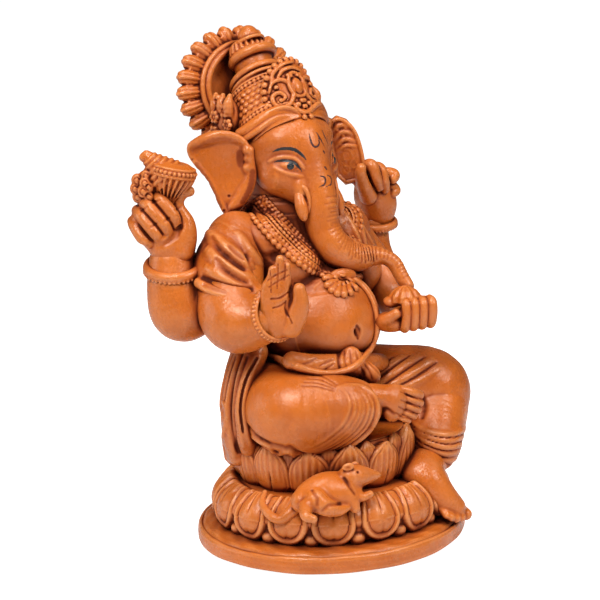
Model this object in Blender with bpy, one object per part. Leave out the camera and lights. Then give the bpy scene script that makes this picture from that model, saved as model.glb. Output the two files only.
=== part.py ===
"""Seated Ganesha idol on a double lotus, as an assembly of separately shaped sub-parts.

Frame: origin at the centre of the base plate's underside, +Z up, the idol faces -Y, so its right hand side is -X.
Lengths are written in millimetres and turned into metres by MM.
"""

import math

import bmesh
import bpy
from mathutils import Matrix, Vector

MM = 0.001

# Driving dimensions, mm
BASE_HALF_WIDTH = 51.0
BASE_HALF_DEPTH = 47.0
BASE_THICK = 8.0
LOWER_LOTUS_TOP = 25.5
SEAT_TOP = 38.5
GLUE_GAP = 0.6  # clearance that a piece leaves round the pieces let into it
LAYER_GAP = 0.4  # clearance between stacked tiers
LOWER_PETALS = 16
UPPER_PETALS = 12
HALO_PETALS = 20

# Landmarks of the figure, mm
HIP = (17.0, 14.0, 53.0)  # left hip; the right one is mirrored
CROWN_SEAT = (0.0, 22.0, 146.5)  # centre of the crown's band
CROWN_LEAN = 40.0  # degrees back from upright
FINIAL_SEAT = (0.0, 38.5, 169.5)
FINIAL_LEAN = 14.0
HALO_CENTRE = (0.0, 47.0, 161.0)
HALO_LEAN = 8.0

RESIN = ((0.62, 0.24, 0.07), 0.42)
BLACK_PAINT = ((0.02, 0.02, 0.02), 0.35)


def mirrored(points):
    """The same points on the other side of the idol's middle plane."""
    return [(-x, *rest) for x, *rest in points]


def turned(degrees_x=0.0, degrees_y=0.0, degrees_z=0.0):
    """A rotation about X, then Y, then Z."""
    angles = (math.radians(a) for a in (degrees_x, degrees_y, degrees_z))
    x, y, z = (Matrix.Rotation(a, 4, axis) for a, axis in zip(angles, "XYZ"))
    return z @ y @ x


# --- Shapes added to a bmesh, in millimetres ---


def ball(mesh, centre, radii, turn=None, segments=12):
    """An ellipsoid."""
    place = Matrix.Translation(centre) @ (turn or Matrix()) @ Matrix.Diagonal((*radii, 1.0))
    bmesh.ops.create_uvsphere(mesh, u_segments=segments, v_segments=segments // 2, radius=1.0, matrix=place)


def spline(points, steps):
    """Points of a Catmull-Rom curve through points of any dimension, steps to a span."""
    ends = [Vector(points[0]) * 2 - Vector(points[1])]
    ends += [Vector(p) for p in points]
    ends.append(Vector(points[-1]) * 2 - Vector(points[-2]))
    found = []
    for i in range(1, len(ends) - 2):
        a, b, c, d = ends[i - 1 : i + 3]
        for k in range(steps):
            t = k / steps
            found.append((b * 2 + (c - a) * t + (a * 2 - b * 5 + c * 4 - d) * t * t
                          + (b * 3 - a - c * 3 + d) * t * t * t) / 2)
    return [*found, ends[-2]]


def ring(mesh, centre, across, up, radius, sides):
    """The vertices of a circle round centre, in the plane of across and up."""
    angles = (2 * math.pi * k / sides for k in range(sides))
    return [mesh.verts.new(centre + (across * math.cos(a) + up * math.sin(a)) * radius) for a in angles]


def face_outward(mesh, faces):
    """Turns a closed shell's faces round if they face inward."""
    volume = 0.0
    for face in faces:
        face.normal_update()
        volume += face.calc_area() * face.normal.dot(face.calc_center_median())
    if volume < 0:
        bmesh.ops.reverse_faces(mesh, faces=faces)


def skin(mesh, rings, closed=False):
    """Faces between neighbouring rings, with the two ends filled unless the row is closed."""
    pairs = list(zip(rings, rings[1:]))
    if closed:
        pairs.append((rings[-1], rings[0]))
    faces = []
    for low, high in pairs:
        for k in range(len(low)):
            j = (k + 1) % len(low)
            faces.append(mesh.faces.new((low[k], low[j], high[j], high[k])))
    if not closed:
        faces.append(mesh.faces.new(list(reversed(rings[0]))))
        faces.append(mesh.faces.new(rings[-1]))
    face_outward(mesh, faces)


def limb(mesh, stations, steps=3, sides=10):
    """A round tube with domed ends through stations of (x, y, z, radius)."""
    path = spline(stations, steps)
    places = [Vector(p[:3]) for p in path]
    radii = [p[3] for p in path]
    start = (places[1] - places[0]).normalized()
    finish = (places[-1] - places[-2]).normalized()
    across = start.orthogonal().normalized()
    rings = []
    dome = ((0.97, 0.25), (0.8, 0.6), (0.5, 0.87))
    for along, wide in dome:
        up = start.cross(across)
        rings.append(ring(mesh, places[0] - start * radii[0] * along, across, up, radii[0] * wide, sides))
    for i, place in enumerate(places):
        ahead = places[min(i + 1, len(places) - 1)] - places[max(i - 1, 0)]
        ahead.normalize()
        across = (across - ahead * across.dot(ahead)).normalized()
        rings.append(ring(mesh, place, across, ahead.cross(across), radii[i], sides))
    for along, wide in reversed(dome):
        up = finish.cross(across)
        rings.append(ring(mesh, places[-1] + finish * radii[-1] * along, across, up, radii[-1] * wide, sides))
    skin(mesh, rings)


def hoop(mesh, centre, radii, thick, turn=None, sides=18, tube_sides=5):
    """A closed ring of round section; radii are its half width and half depth."""
    place = Matrix.Translation(centre) @ (turn or Matrix())
    rings = []
    for k in range(sides):
        a = 2 * math.pi * k / sides
        out = Vector((math.cos(a), math.sin(a), 0))
        middle = Vector((out.x * radii[0], out.y * radii[1], 0))
        section = ring(mesh, middle, out, Vector((0, 0, 1)), thick, tube_sides)
        bmesh.ops.transform(mesh, matrix=place, verts=section)
        rings.append(section)
    skin(mesh, rings, closed=True)


def turning(mesh, profile, place=None, sides=32, squash=1.0, wave=None):
    """A solid turned about Z from (radius, height) points; squash scales its depth, wave(angle, height) its radius."""
    rings = []
    for radius, height in profile:
        section = []
        for k in range(sides):
            a = 2 * math.pi * k / sides
            r = radius * (wave(a, height) if wave else 1.0)
            section.append(mesh.verts.new((r * math.cos(a), r * math.sin(a) * squash, height)))
        bmesh.ops.transform(mesh, matrix=place or Matrix(), verts=section)
        rings.append(section)
    skin(mesh, rings)


def slab(mesh, outline, thick, place):
    """An outline in the local XZ plane, given a thickness along Y."""
    rings = []
    for side in (-0.5, 0.5):
        section = [mesh.verts.new((x, side * thick, z)) for x, z in outline]
        bmesh.ops.transform(mesh, matrix=place, verts=section)
        rings.append(section)
    skin(mesh, rings)


# --- Sub-parts. Each returns a bmesh in millimetres. ---


def petal_wave(count, depth):
    """A radius factor that makes count rounded petals, depth being the valley's share of the radius."""
    return lambda angle, height: 1.0 - depth * (1.0 - abs(math.cos(count * angle / 2)) ** 0.5)


def base_plate():
    """Oval plinth with a stepped upper edge; its underside is flat."""
    mesh = bmesh.new()
    a = BASE_HALF_WIDTH
    squash = BASE_HALF_DEPTH / BASE_HALF_WIDTH
    profile = [(a - 0.8, 0), (a, 0.8), (a, 5.4), (a - 0.6, 6.0), (a - 1.2, 6.6), (a - 2.0, BASE_THICK)]
    turning(mesh, profile, sides=44, squash=squash)
    return mesh


def lower_lotus():
    """Tier of petals that hang outward and down over the plinth."""
    mesh = bmesh.new()
    low = BASE_THICK + LAYER_GAP
    profile = [(43.0, low), (45.5, low + 3), (45.0, low + 8), (42.0, low + 13), (37.0, LOWER_LOTUS_TOP)]
    squash = BASE_HALF_DEPTH / BASE_HALF_WIDTH
    turning(mesh, profile, sides=3 * LOWER_PETALS, squash=squash, wave=petal_wave(LOWER_PETALS, 0.05))
    return mesh


def upper_lotus():
    """Tier of upright petals whose middle is the seat."""
    mesh = bmesh.new()
    low = LOWER_LOTUS_TOP + LAYER_GAP
    profile = [(27.0, low), (31.5, low + 3.0), (33.8, low + 8.0), (33.0, SEAT_TOP)]
    turning(mesh, profile, sides=3 * UPPER_PETALS, wave=petal_wave(UPPER_PETALS, 0.06))
    bmesh.ops.translate(mesh, vec=(0, 4, 0), verts=mesh.verts)
    return mesh


def torso():
    """Pelvis, round belly, chest, shoulders and neck."""
    mesh = bmesh.new()
    ball(mesh, (0, 15, 56), (25, 19, 16.5))
    ball(mesh, (0, 5, 79), (20.5, 20, 18.5), segments=20)
    ball(mesh, (0, 17, 84), (23, 17, 24))
    ball(mesh, (0, 17, 101), (23, 14, 14))
    for side in (-1, 1):
        ball(mesh, (side * 11, 7, 100), (10, 8, 8))
        ball(mesh, (side * 23, 18, 105), (10, 10, 10))
    ball(mesh, (0, 20, 116), (11, 11, 11))
    return mesh


def leg_stations():
    """The right leg: hip to knee, then the shin folded across to the ankle."""
    hip = (-HIP[0], HIP[1], HIP[2])
    return [(*hip, 14.0), (-25.5, -2, 52, 14.5), (-26, -10, 52, 14.5), (-14, -20, 52.5, 12.0), (-4, -25, 54, 8.5)]


def right_leg():
    """Thigh and shin of the folded leg, in one pleated trouser."""
    mesh = bmesh.new()
    limb(mesh, leg_stations(), steps=4, sides=14)
    return mesh


def right_foot():
    """Bare foot of the folded leg, with five toes."""
    mesh = bmesh.new()
    limb(mesh, [(-4, -25.5, 54.5, 5.2), (2, -27.5, 53.5, 5.6), (8.5, -28.5, 51.5, 5.4)])
    for toe in range(5):
        drop = 2.3 * toe
        limb(mesh, [(9.5, -30 + 0.3 * toe, 55.4 - drop, 1.7), (15.0 - 0.7 * toe, -30.5, 54.0 - drop, 1.5)], sides=7)
    return mesh


def left_leg():
    """Thigh and shin of the hanging leg, gathered above the ankle."""
    mesh = bmesh.new()
    limb(mesh, [(*HIP, 14.0), (31, -3, 53, 14.5), (38, -12, 48, 13.5), (34, -19, 37, 11.0), (28, -23, 27.5, 8.5)],
         steps=4, sides=14)
    return mesh


def left_foot():
    """Bare foot that rests on the lower lotus and the plinth's edge."""
    mesh = bmesh.new()
    limb(mesh, [(25, -24, 25, 6.0), (23.5, -26, 19, 6.6), (26, -31.5, 15, 5.8), (29, -36, 12.4, 4.4)])
    for toe in range(5):
        x, y = 27.5 + 1.5 * toe, -38.5 + 1.3 * toe
        limb(mesh, [(x - 1, y + 1.5, 12.4, 1.9), (x + 1.2, y - 1.6, 10.6, 1.6)], sides=7)
    return mesh


def arm(stations):
    """A bare arm from shoulder to wrist."""
    mesh = bmesh.new()
    limb(mesh, stations, steps=4, sides=12)
    return mesh


REAR_ARM = [(26, 22, 104, 8.5), (42, 23, 90, 10.0), (48.5, 25, 86, 9.8), (50, 27, 95, 9.0), (49.5, 28, 104, 7.8)]
RIGHT_FRONT_ARM = [(-28, 17, 104, 10.0), (-38, 10, 90, 11.0), (-40, 3, 82.5, 11.5), (-37, -7, 82, 9.0),
                   (-34, -13, 84, 7.4)]
LEFT_FRONT_ARM = [(27, 18, 104, 9.5), (39, 12, 90, 10.0), (40, 0, 80, 9.6), (32, -11, 76.5, 7.6),
                  (26, -15, 78.5, 6.4)]


def closed_hand(side):
    """A raised fist, palm to the front, gripping its attribute; side is -1 on the idol's right."""
    mesh = bmesh.new()
    x = side * 49.5
    ball(mesh, (x, 26.5, 113), (9.5, 6.2, 9.5))
    for finger in range(4):
        out = x + side * (6.5 - 3.2 * finger)
        high = 117.5 + 1.6 * finger
        limb(mesh, [(out + side * 2.5, 27, high, 2.5), (out + side * 1.5, 20.5, high + 0.5, 2.4),
                    (out - side * 1.5, 19.5, high - 4, 2.1)], sides=8)
    limb(mesh, [(x - side * 7, 25, 112, 3.2), (x - side * 8.8, 23, 119, 2.7), (x - side * 7.6, 21.5, 125.5, 2.1)],
         sides=8)
    return mesh


def bangle(centre, radius, tilt):
    """A plain ring round a wrist."""
    mesh = bmesh.new()
    hoop(mesh, centre, (radius, radius), 1.9, tilt)
    return mesh


def conch():
    """Spiral shell: turned spire on a fluted bowl, with a rolled lip to one side."""
    mesh = bmesh.new()
    profile = [(2.0, -11), (6.0, -8), (9.6, -2), (10.2, 1.5), (7.4, 4), (5.0, 6.5), (5.2, 7.6), (3.2, 10), (3.4, 11),
               (0.8, 14)]
    turning(mesh, profile, Matrix.Translation((-50.5, 24.5, 133)) @ turned(degrees_y=-12), sides=18)
    ball(mesh, (-59.5, 21.5, 131), (3.6, 3.2, 5.5))
    return mesh


def axe():
    """Ceremonial axe head with a curved cutting edge, on a short haft held in the fist."""
    mesh = bmesh.new()
    outline = [(-3.5, -13.5), (2.5, -14.5), (6.0, -9), (7.6, -1), (6.2, 7), (2.5, 13), (-3.0, 15), (-5.5, 9), (-4.6, 0)]
    place = Matrix.Translation((38.5, 26.5, 138)) @ turned(degrees_y=-14, degrees_z=-20)
    slab(mesh, outline, 6.0, place)
    limb(mesh, [(43, 24.5, 116, 2.2), (39, 26.5, 130, 2.2)], sides=8)
    return mesh


def blessing_hand():
    """Right front hand, palm to the front with the fingers up."""
    mesh = bmesh.new()
    ball(mesh, (-34, -15.5, 91), (7.2, 4.4, 7.6), turned(degrees_z=-14))
    for finger in range(4):
        x = -38.6 + 2.9 * finger
        reach = (6.8, 9.6, 10.4, 9.0)[finger]
        limb(mesh, [(x, -15.5, 95.0, 2.2), (x + 0.9, -17.4, 96 + reach, 1.6)], sides=8)
    limb(mesh, [(-29, -16.5, 89, 2.8), (-26.2, -18.2, 95.0, 2.2), (-25.8, -19.4, 98.4, 1.9)], sides=8)
    return mesh


def giving_hand():
    """Left front hand, palm up with the fingers curled over, under the trunk's tip."""
    mesh = bmesh.new()
    ball(mesh, (23.5, -16.5, 80.5), (7.5, 7.0, 5.0))
    for finger in range(4):
        x, y = 21.0 + 3.4 * finger, -23.6 + 2.4 * finger
        limb(mesh, [(x, y, 77.0, 2.4), (x + 1.4, y - 1.2, 81.5, 2.3), (x + 0.8, y + 0.4, 86.0, 2.0)], sides=8)
    return mesh


def sweet():
    """Modak: a pleated sweet in the left palm."""
    mesh = bmesh.new()
    turning(mesh, [(2.0, 0), (4.4, 1.5), (4.8, 3.5), (3.4, 6), (1.2, 8)], Matrix.Translation((20.8, -17.5, 84.6)), 12)
    return mesh


def head():
    """Elephant head: skull, cheeks, brow and the root of the trunk."""
    mesh = bmesh.new()
    ball(mesh, (0, 22, 138), (18.5, 17, 16), segments=18)
    ball(mesh, (0, 13, 141), (13, 12.5, 12.5))
    for side in (-1, 1):
        ball(mesh, (side * 8.5, 15, 129.5), (9.5, 11, 9.5))
    return mesh


def trunk():
    """Trunk from the brow down over the chest, turning to the idol's left with its tip in the palm."""
    mesh = bmesh.new()
    limb(mesh, [(0, 9, 136, 8.8), (0, 3.6, 128, 7.8), (0, 2.4, 121, 7.2), (1, 0.8, 113, 7.4), (5, -2.2, 105.5, 7.6),
                (11, -4.4, 101, 6.8), (17, -6.0, 99.3, 5.4), (22.5, -8.5, 96.5, 4.5), (25.5, -11, 91.5, 4.0)],
         steps=3, sides=14)
    return mesh


def tusk(side):
    """Short tusk in its socket beside the trunk's root."""
    mesh = bmesh.new()
    limb(mesh, [(side * 8.6, 6.5, 124.5, 3.4), (side * 10.4, 1.5, 119.5, 3.0), (side * 10.6, -1.2, 115.0, 1.4)], sides=9)
    return mesh


def ear(side):
    """Fan-shaped ear swept back from the cheek, as a thick plate."""
    mesh = bmesh.new()
    outline = [(0, 10), (4, 16), (11, 18.5), (19, 17.5), (27.5, 13), (26.5, 6), (22, -2), (17.5, -9), (12.5, -15.5),
               (7.5, -17), (3.5, -13), (0.5, -5)]
    sweep = 37.0
    place = Matrix.Translation((-14.5, 19.5, 132)) @ turned(degrees_z=180 - sweep)
    slab(mesh, outline, 4.2, place)
    if side > 0:
        bmesh.ops.scale(mesh, vec=(-1, 1, 1), verts=mesh.verts)
        bmesh.ops.reverse_faces(mesh, faces=mesh.faces)
    return mesh


def eye(side):
    """Almond-shaped painted eye let into the side of the brow."""
    mesh = bmesh.new()
    ball(mesh, (side * 11.6, 6.2, 137.2), (3.8, 2.4, 1.9), turned(degrees_z=side * 50), 10)
    return mesh


def crown():
    """Tapering crown: forehead band, patterned wall and a rolled ring on top."""
    mesh = bmesh.new()
    place = Matrix.Translation(CROWN_SEAT) @ turned(degrees_x=-CROWN_LEAN)
    turning(mesh, [(17.0, -4.0), (19.0, -1.5), (18.8, 3.0), (17.4, 9.0), (14.5, 16.0), (10.8, 22.0), (11.0, 25.0),
                   (9.0, 27.0)], place, sides=20)
    return mesh


def crown_plate():
    """Leaf-shaped ornament on the crown's front, its tip above the ring."""
    mesh = bmesh.new()
    outline = [(-8.5, -2), (0, -6.5), (8.5, -2), (9.8, 5), (8.6, 12), (5.4, 16.5), (0, 19), (-5.4, 16.5), (-8.6, 12),
               (-9.8, 5)]
    seat = Vector(CROWN_SEAT) + turned(degrees_x=-CROWN_LEAN) @ Vector((0, -15.5, 0.0))
    slab(mesh, outline, 6.0, Matrix.Translation(seat) @ turned(degrees_x=-CROWN_LEAN))
    return mesh


def finial():
    """Pot-shaped finial: wide ring, fluted neck, flange and knob."""
    mesh = bmesh.new()
    place = Matrix.Translation(FINIAL_SEAT) @ turned(degrees_x=-FINIAL_LEAN)
    turning(mesh, [(6.0, -3.0), (8.0, 0.0), (9.2, 2.0), (8.4, 4.0), (7.0, 4.4), (5.6, 8.0), (5.6, 9.2), (4.0, 9.8),
                   (4.0, 12.0), (1.6, 14.0)], place, sides=16)
    return mesh


def halo():
    """Lotus-petal aureole behind the crown, as one scalloped disc."""
    mesh = bmesh.new()
    outline = []
    steps = 4 * HALO_PETALS
    for k in range(steps):
        a = 2 * math.pi * k / steps
        bump = 1.0 - 0.12 * (1.0 - abs(math.cos(HALO_PETALS * a / 2)) ** 0.6)
        outline.append((28.5 * bump * math.sin(a), 22.0 * bump * math.cos(a)))
    slab(mesh, outline, 6.0, Matrix.Translation(HALO_CENTRE) @ turned(degrees_x=-HALO_LEAN))
    return mesh


def rosette(side):
    """Flower ornament where the crown's band meets the ear."""
    mesh = bmesh.new()
    ball(mesh, (side * 19.5, 32.0, 152), (4.0, 5.0, 7.0))
    return mesh


def shawl():
    """Cloth over the right shoulder and upper arm, carried across the back."""
    mesh = bmesh.new()
    ball(mesh, (-25, 19, 102), (17.5, 15.5, 17.5), segments=18)
    ball(mesh, (-33, 11, 93), (14, 13.5, 11))
    ball(mesh, (0, 24, 90), (27, 16, 30), segments=18)
    return mesh


def hanging_drape():
    """End of the shawl, hanging beside the right hip to the lotus."""
    mesh = bmesh.new()
    limb(mesh, [(-26, 15, 76, 5.0), (-28, 14, 60, 5.5), (-30, 13, 46, 5.6), (-29, 13, 33, 4.6)], sides=8)
    limb(mesh, [(-24, 23, 76, 5.0), (-26, 23, 58, 5.5), (-26.5, 23, 44, 5.4), (-25, 22, 33, 4.2)], sides=8)
    return mesh


def apron():
    """Pleated end of the waist cloth between the thighs."""
    mesh = bmesh.new()
    limb(mesh, [(2, -8, 66, 5.0), (4, -14, 61, 6.0), (8, -18, 57, 5.5)], sides=10)
    return mesh


def draped_cord(stations, steps=3, sides=6):
    """A thin round cord laid over the body."""
    mesh = bmesh.new()
    limb(mesh, stations, steps=steps, sides=sides)
    return mesh


NECKLACE = [(-21, 19, 118, 2.0), (-18, 9, 114, 2.0), (-12, 1.0, 106, 2.0), (-4, -7, 98.5, 2.0), (3, -9, 96.0, 2.0)]
GARLAND = [(-23, 15, 114.5, 1.9), (-18.5, 3.5, 108.0, 1.9), (-12, -4.5, 101.0, 1.9), (-4, -11, 94.5, 1.9),
           (3, -12.5, 92.5, 1.9)]
SACRED_THREAD = [(7.5, -10.5, 93.5, 1.5), (12, -10.5, 86.5, 1.5), (13.5, -11.5, 78, 1.5), (10, -13.5, 69.5, 1.5),
                 (3, -15.0, 64.5, 1.5), (-6, -13.5, 64.5, 1.5), (-15, -8.0, 66.5, 1.5)]


def pendant():
    """Scalloped pendant where the garland meets over the belly."""
    mesh = bmesh.new()
    ball(mesh, (2.0, -15.0, 90.5), (6.2, 2.6, 4.6), turned(degrees_x=20))
    return mesh


def mouse():
    """The mouse, crouched across the lower lotus with its tail curled out."""
    mesh = bmesh.new()
    limb(mesh, [(-38.5, -31, 24.5, 4.6), (-32.5, -34.5, 28.5, 6.0), (-26, -36.5, 29.5, 4.4), (-19.5, -38, 31.5, 3.6),
                (-14.5, -39, 30.8, 1.5)])
    limb(mesh, [(-39.5, -32, 23, 3.4), (-44.5, -32.0, 17.5, 2.0), (-49.5, -28, 16.0, 1.6)], sides=7)
    limb(mesh, [(-24.5, -38, 27, 2.2), (-20.5, -41, 22.5, 1.8), (-16, -41.5, 22.5, 1.5)], sides=7)
    limb(mesh, [(-37, -35, 25, 3.2), (-35.5, -38.5, 19.0, 2.2)], sides=7)
    ball(mesh, (-23.0, -35.0, 34.5), (1.8, 1.6, 2.2))
    return mesh


# Each row is (name, shape, voxel size or None for an already closed shape, triangles wanted).
# A piece gives way to every piece below it: it is hollowed where they are let into it.
PIECES = [
    ("base_plate", base_plate, None, 0),
    ("lower_lotus", lower_lotus, None, 0),
    ("upper_lotus", upper_lotus, None, 0),
    ("shawl", shawl, 1.6, 240),
    ("torso", torso, 1.6, 260),
    ("right_leg", right_leg, 1.4, 180),
    ("left_leg", left_leg, 1.4, 180),
    ("right_foot", right_foot, 0.7, 240),
    ("left_foot", left_foot, 0.7, 240),
    ("waist_apron", apron, None, 0),
    ("hanging_drape", hanging_drape, 1.2, 200),
    ("right_rear_arm", lambda: arm(mirrored(REAR_ARM)), 1.2, 120),
    ("left_rear_arm", lambda: arm(REAR_ARM), 1.2, 120),
    ("right_front_arm", lambda: arm(RIGHT_FRONT_ARM), 1.2, 120),
    ("left_front_arm", lambda: arm(LEFT_FRONT_ARM), 1.2, 120),
    ("right_rear_hand", lambda: closed_hand(-1), 0.8, 240),
    ("left_rear_hand", lambda: closed_hand(1), 0.8, 240),
    ("right_front_hand", blessing_hand, 0.8, 240),
    ("left_front_hand", giving_hand, 0.8, 240),
    ("right_rear_bangle", lambda: bangle((-49.4, 27.6, 102.5), 9.6, turned(5, 4)), None, 0),
    ("left_rear_bangle", lambda: bangle((49.4, 27.6, 102.5), 9.6, turned(5, -4)), None, 0),
    ("right_front_bangle", lambda: bangle((-34.2, -12.2, 84.2), 8.4, turned(60, 0, -18)), None, 0),
    ("left_front_bangle", lambda: bangle((29.5, -12.6, 77.2), 8.0, turned(75, 0, 50)), None, 0),
    ("conch", conch, 0.8, 240),
    ("ceremonial_axe", axe, 0.8, 220),
    ("head", head, 1.4, 220),
    ("trunk", trunk, 1.0, 200),
    ("right_tusk", lambda: tusk(-1), None, 0),
    ("left_tusk", lambda: tusk(1), None, 0),
    ("right_ear", lambda: ear(-1), None, 0),
    ("left_ear", lambda: ear(1), None, 0),
    ("right_eye", lambda: eye(-1), None, 0),
    ("left_eye", lambda: eye(1), None, 0),
    ("halo", halo, None, 0),
    ("crown", crown, None, 0),
    ("crown_plate", crown_plate, None, 0),
    ("crown_finial", finial, None, 0),
    ("right_rosette", lambda: rosette(-1), None, 0),
    ("left_rosette", lambda: rosette(1), None, 0),
    ("sweet", sweet, None, 0),
    ("bead_necklace", lambda: draped_cord(NECKLACE), None, 0),
    ("bead_garland", lambda: draped_cord(GARLAND), None, 0),
    ("garland_pendant", pendant, None, 0),
    ("sacred_thread", lambda: draped_cord(SACRED_THREAD), None, 0),
    ("mouse", mouse, 0.9, 320),
]
PAINTED = ("right_eye", "left_eye")


# --- Putting the pieces together ---


def material(name, colour, roughness):
    """A Principled material."""
    made = bpy.data.materials.new(name)
    made.use_nodes = True
    shader = made.node_tree.nodes["Principled BSDF"]
    shader.inputs["Base Color"].default_value = (*colour, 1.0)
    shader.inputs["Roughness"].default_value = roughness
    shader.inputs["Metallic"].default_value = 0.0
    return made


def shape_data(name, shape, voxel, triangles):
    """The mesh of one piece in metres, before its neighbours are let into it."""
    mesh = shape()
    bmesh.ops.scale(mesh, vec=(MM, MM, MM), verts=mesh.verts)
    data = bpy.data.meshes.new(name)
    mesh.to_mesh(data)
    mesh.free()
    if voxel:
        data = fused(data, voxel, triangles)
    data.shade_smooth()
    return data


def fused(data, voxel, triangles):
    """A mesh's overlapping shells joined into one skin, thinned to about the triangles wanted."""
    obj = add_object(data.name, data)
    remesh = obj.modifiers.new("fuse", "REMESH")
    remesh.mode = "VOXEL"
    remesh.voxel_size = voxel * MM
    faces = len(obj.evaluated_get(bpy.context.evaluated_depsgraph_get()).data.polygons)
    thin = obj.modifiers.new("thin", "DECIMATE")
    thin.ratio = min(1.0, triangles / (2 * faces))
    shape = bpy.data.meshes.new_from_object(obj.evaluated_get(bpy.context.evaluated_depsgraph_get()))
    bpy.data.objects.remove(obj)
    return shape


def add_object(name, data):
    """An object in the scene that shows data."""
    obj = bpy.data.objects.new(name, data)
    bpy.context.scene.collection.objects.link(obj)
    return obj


def room_for(obj):
    """The cutter that hollows a seat for obj: its own shape, grown by the gap."""
    cutter = add_object(obj.name + "_room", obj.data)
    swell = cutter.modifiers.new("swell", "DISPLACE")
    swell.mid_level = 0.0
    swell.strength = GLUE_GAP * MM
    cutter.hide_render = True
    cutter.display_type = "WIRE"
    return cutter


def box_of(obj):
    """Lowest and highest corner of an evaluated object, in world space."""
    corners = [Vector(c) for c in obj.evaluated_get(bpy.context.evaluated_depsgraph_get()).bound_box]
    return Vector(map(min, zip(*corners))), Vector(map(max, zip(*corners)))


def overlap(first, second):
    """Whether two boxes share any space."""
    return all(first[0][k] < second[1][k] and second[0][k] < first[1][k] for k in range(3))


def carve(obj, cutter):
    """Hollows obj where the cutter is."""
    cut = obj.modifiers.new("seat_for_" + cutter.name, "BOOLEAN")
    cut.operation = "DIFFERENCE"
    cut.solver = "EXACT"
    cut.object = cutter


def islands(mesh):
    """The faces of a bmesh in groups that hang together."""
    left = set(mesh.faces)
    groups = []
    while left:
        group, edge = set(), [left.pop()]
        while edge:
            face = edge.pop()
            group.add(face)
            near = {f for e in face.edges for f in e.link_faces} & left
            left -= near
            edge.extend(near)
        groups.append(group)
    return groups


def settled(obj):
    """Obj's evaluated shape as a mesh of its own, without the crumbs that carving cut loose."""
    shape = bpy.data.meshes.new_from_object(obj.evaluated_get(bpy.context.evaluated_depsgraph_get()))
    mesh = bmesh.new()
    mesh.from_mesh(shape)
    groups = sorted(islands(mesh), key=lambda group: sum(f.calc_area() for f in group))
    crumbs = [face for group in groups[:-1] for face in group]
    bmesh.ops.delete(mesh, geom=crumbs, context="FACES")
    mesh.to_mesh(shape)
    mesh.free()
    return shape


def centre_origin(obj):
    """Puts obj's origin at the middle of its shape, which stays where it is."""
    low = Vector(map(min, zip(*(v.co for v in obj.data.vertices))))
    high = Vector(map(max, zip(*(v.co for v in obj.data.vertices))))
    middle = (low + high) / 2
    obj.data.transform(Matrix.Translation(-middle))
    obj.location = middle


def build():
    for old in list(bpy.data.objects):
        bpy.data.objects.remove(old)
    resin = material("resin", *RESIN)
    paint = material("black_paint", *BLACK_PAINT)
    made = []
    for name, shape, voxel, triangles in PIECES:
        obj = add_object(name, shape_data(name, shape, voxel, triangles))
        obj.data.materials.append(paint if name in PAINTED else resin)
        made.append(obj)
    cutters = [room_for(obj) for obj in made]
    boxes = [box_of(cutter) for cutter in cutters]
    for i, obj in enumerate(made):
        for later in range(i + 1, len(made)):
            if overlap(boxes[i], boxes[later]):
                carve(obj, cutters[later])
    shapes = [settled(obj) for obj in made]
    idol = bpy.data.objects.new("idol", None)
    bpy.context.scene.collection.objects.link(idol)
    for obj, shape in zip(made, shapes):
        obj.modifiers.clear()
        obj.data = shape
        centre_origin(obj)
        obj.parent = idol
    for cutter in cutters:
        bpy.data.objects.remove(cutter)


build()
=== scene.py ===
"""Looks of the seated Ganesha idol: carved surfaces, cast resin material, pale studio.

Each carved element is a signed distance field in idol millimetres, built from balls, tubes, turned profiles
and slabs that melt into each other, then meshed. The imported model's plinth box and height give the origin and
scale of idol millimetres. Places inside that frame are written as numbers.

Creases, scrolls and painted strokes are outlines of (right, up) points in the viewing plane of the camera.
The points were chosen against the photograph and turned into millimetres, with this camera, outside this
script. laid() puts them on a piece along the camera's lines of sight.
"""

import math

import bpy
import numpy as np
import openvdb
from mathutils import Matrix, Vector


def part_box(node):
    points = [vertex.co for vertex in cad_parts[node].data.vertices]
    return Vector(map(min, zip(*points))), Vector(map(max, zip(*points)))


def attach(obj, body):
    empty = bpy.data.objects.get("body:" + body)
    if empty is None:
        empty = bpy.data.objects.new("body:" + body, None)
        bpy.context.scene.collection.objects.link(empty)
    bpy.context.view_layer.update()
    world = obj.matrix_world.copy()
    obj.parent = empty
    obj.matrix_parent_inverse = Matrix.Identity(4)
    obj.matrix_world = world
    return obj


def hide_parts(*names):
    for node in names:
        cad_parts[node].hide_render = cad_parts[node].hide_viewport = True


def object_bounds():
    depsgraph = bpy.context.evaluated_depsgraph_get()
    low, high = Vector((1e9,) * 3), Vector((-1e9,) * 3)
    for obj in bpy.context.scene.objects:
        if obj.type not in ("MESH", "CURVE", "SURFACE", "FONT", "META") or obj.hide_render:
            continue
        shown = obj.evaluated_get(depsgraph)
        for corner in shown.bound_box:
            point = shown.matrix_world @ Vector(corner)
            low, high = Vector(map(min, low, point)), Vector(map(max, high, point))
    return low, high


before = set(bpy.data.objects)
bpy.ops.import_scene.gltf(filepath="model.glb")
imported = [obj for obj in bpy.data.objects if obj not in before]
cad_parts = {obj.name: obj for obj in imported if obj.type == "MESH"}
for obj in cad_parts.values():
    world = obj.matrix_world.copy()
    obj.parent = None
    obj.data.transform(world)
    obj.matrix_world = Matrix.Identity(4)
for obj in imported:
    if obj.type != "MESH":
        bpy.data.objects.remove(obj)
CAD_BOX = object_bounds()

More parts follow.
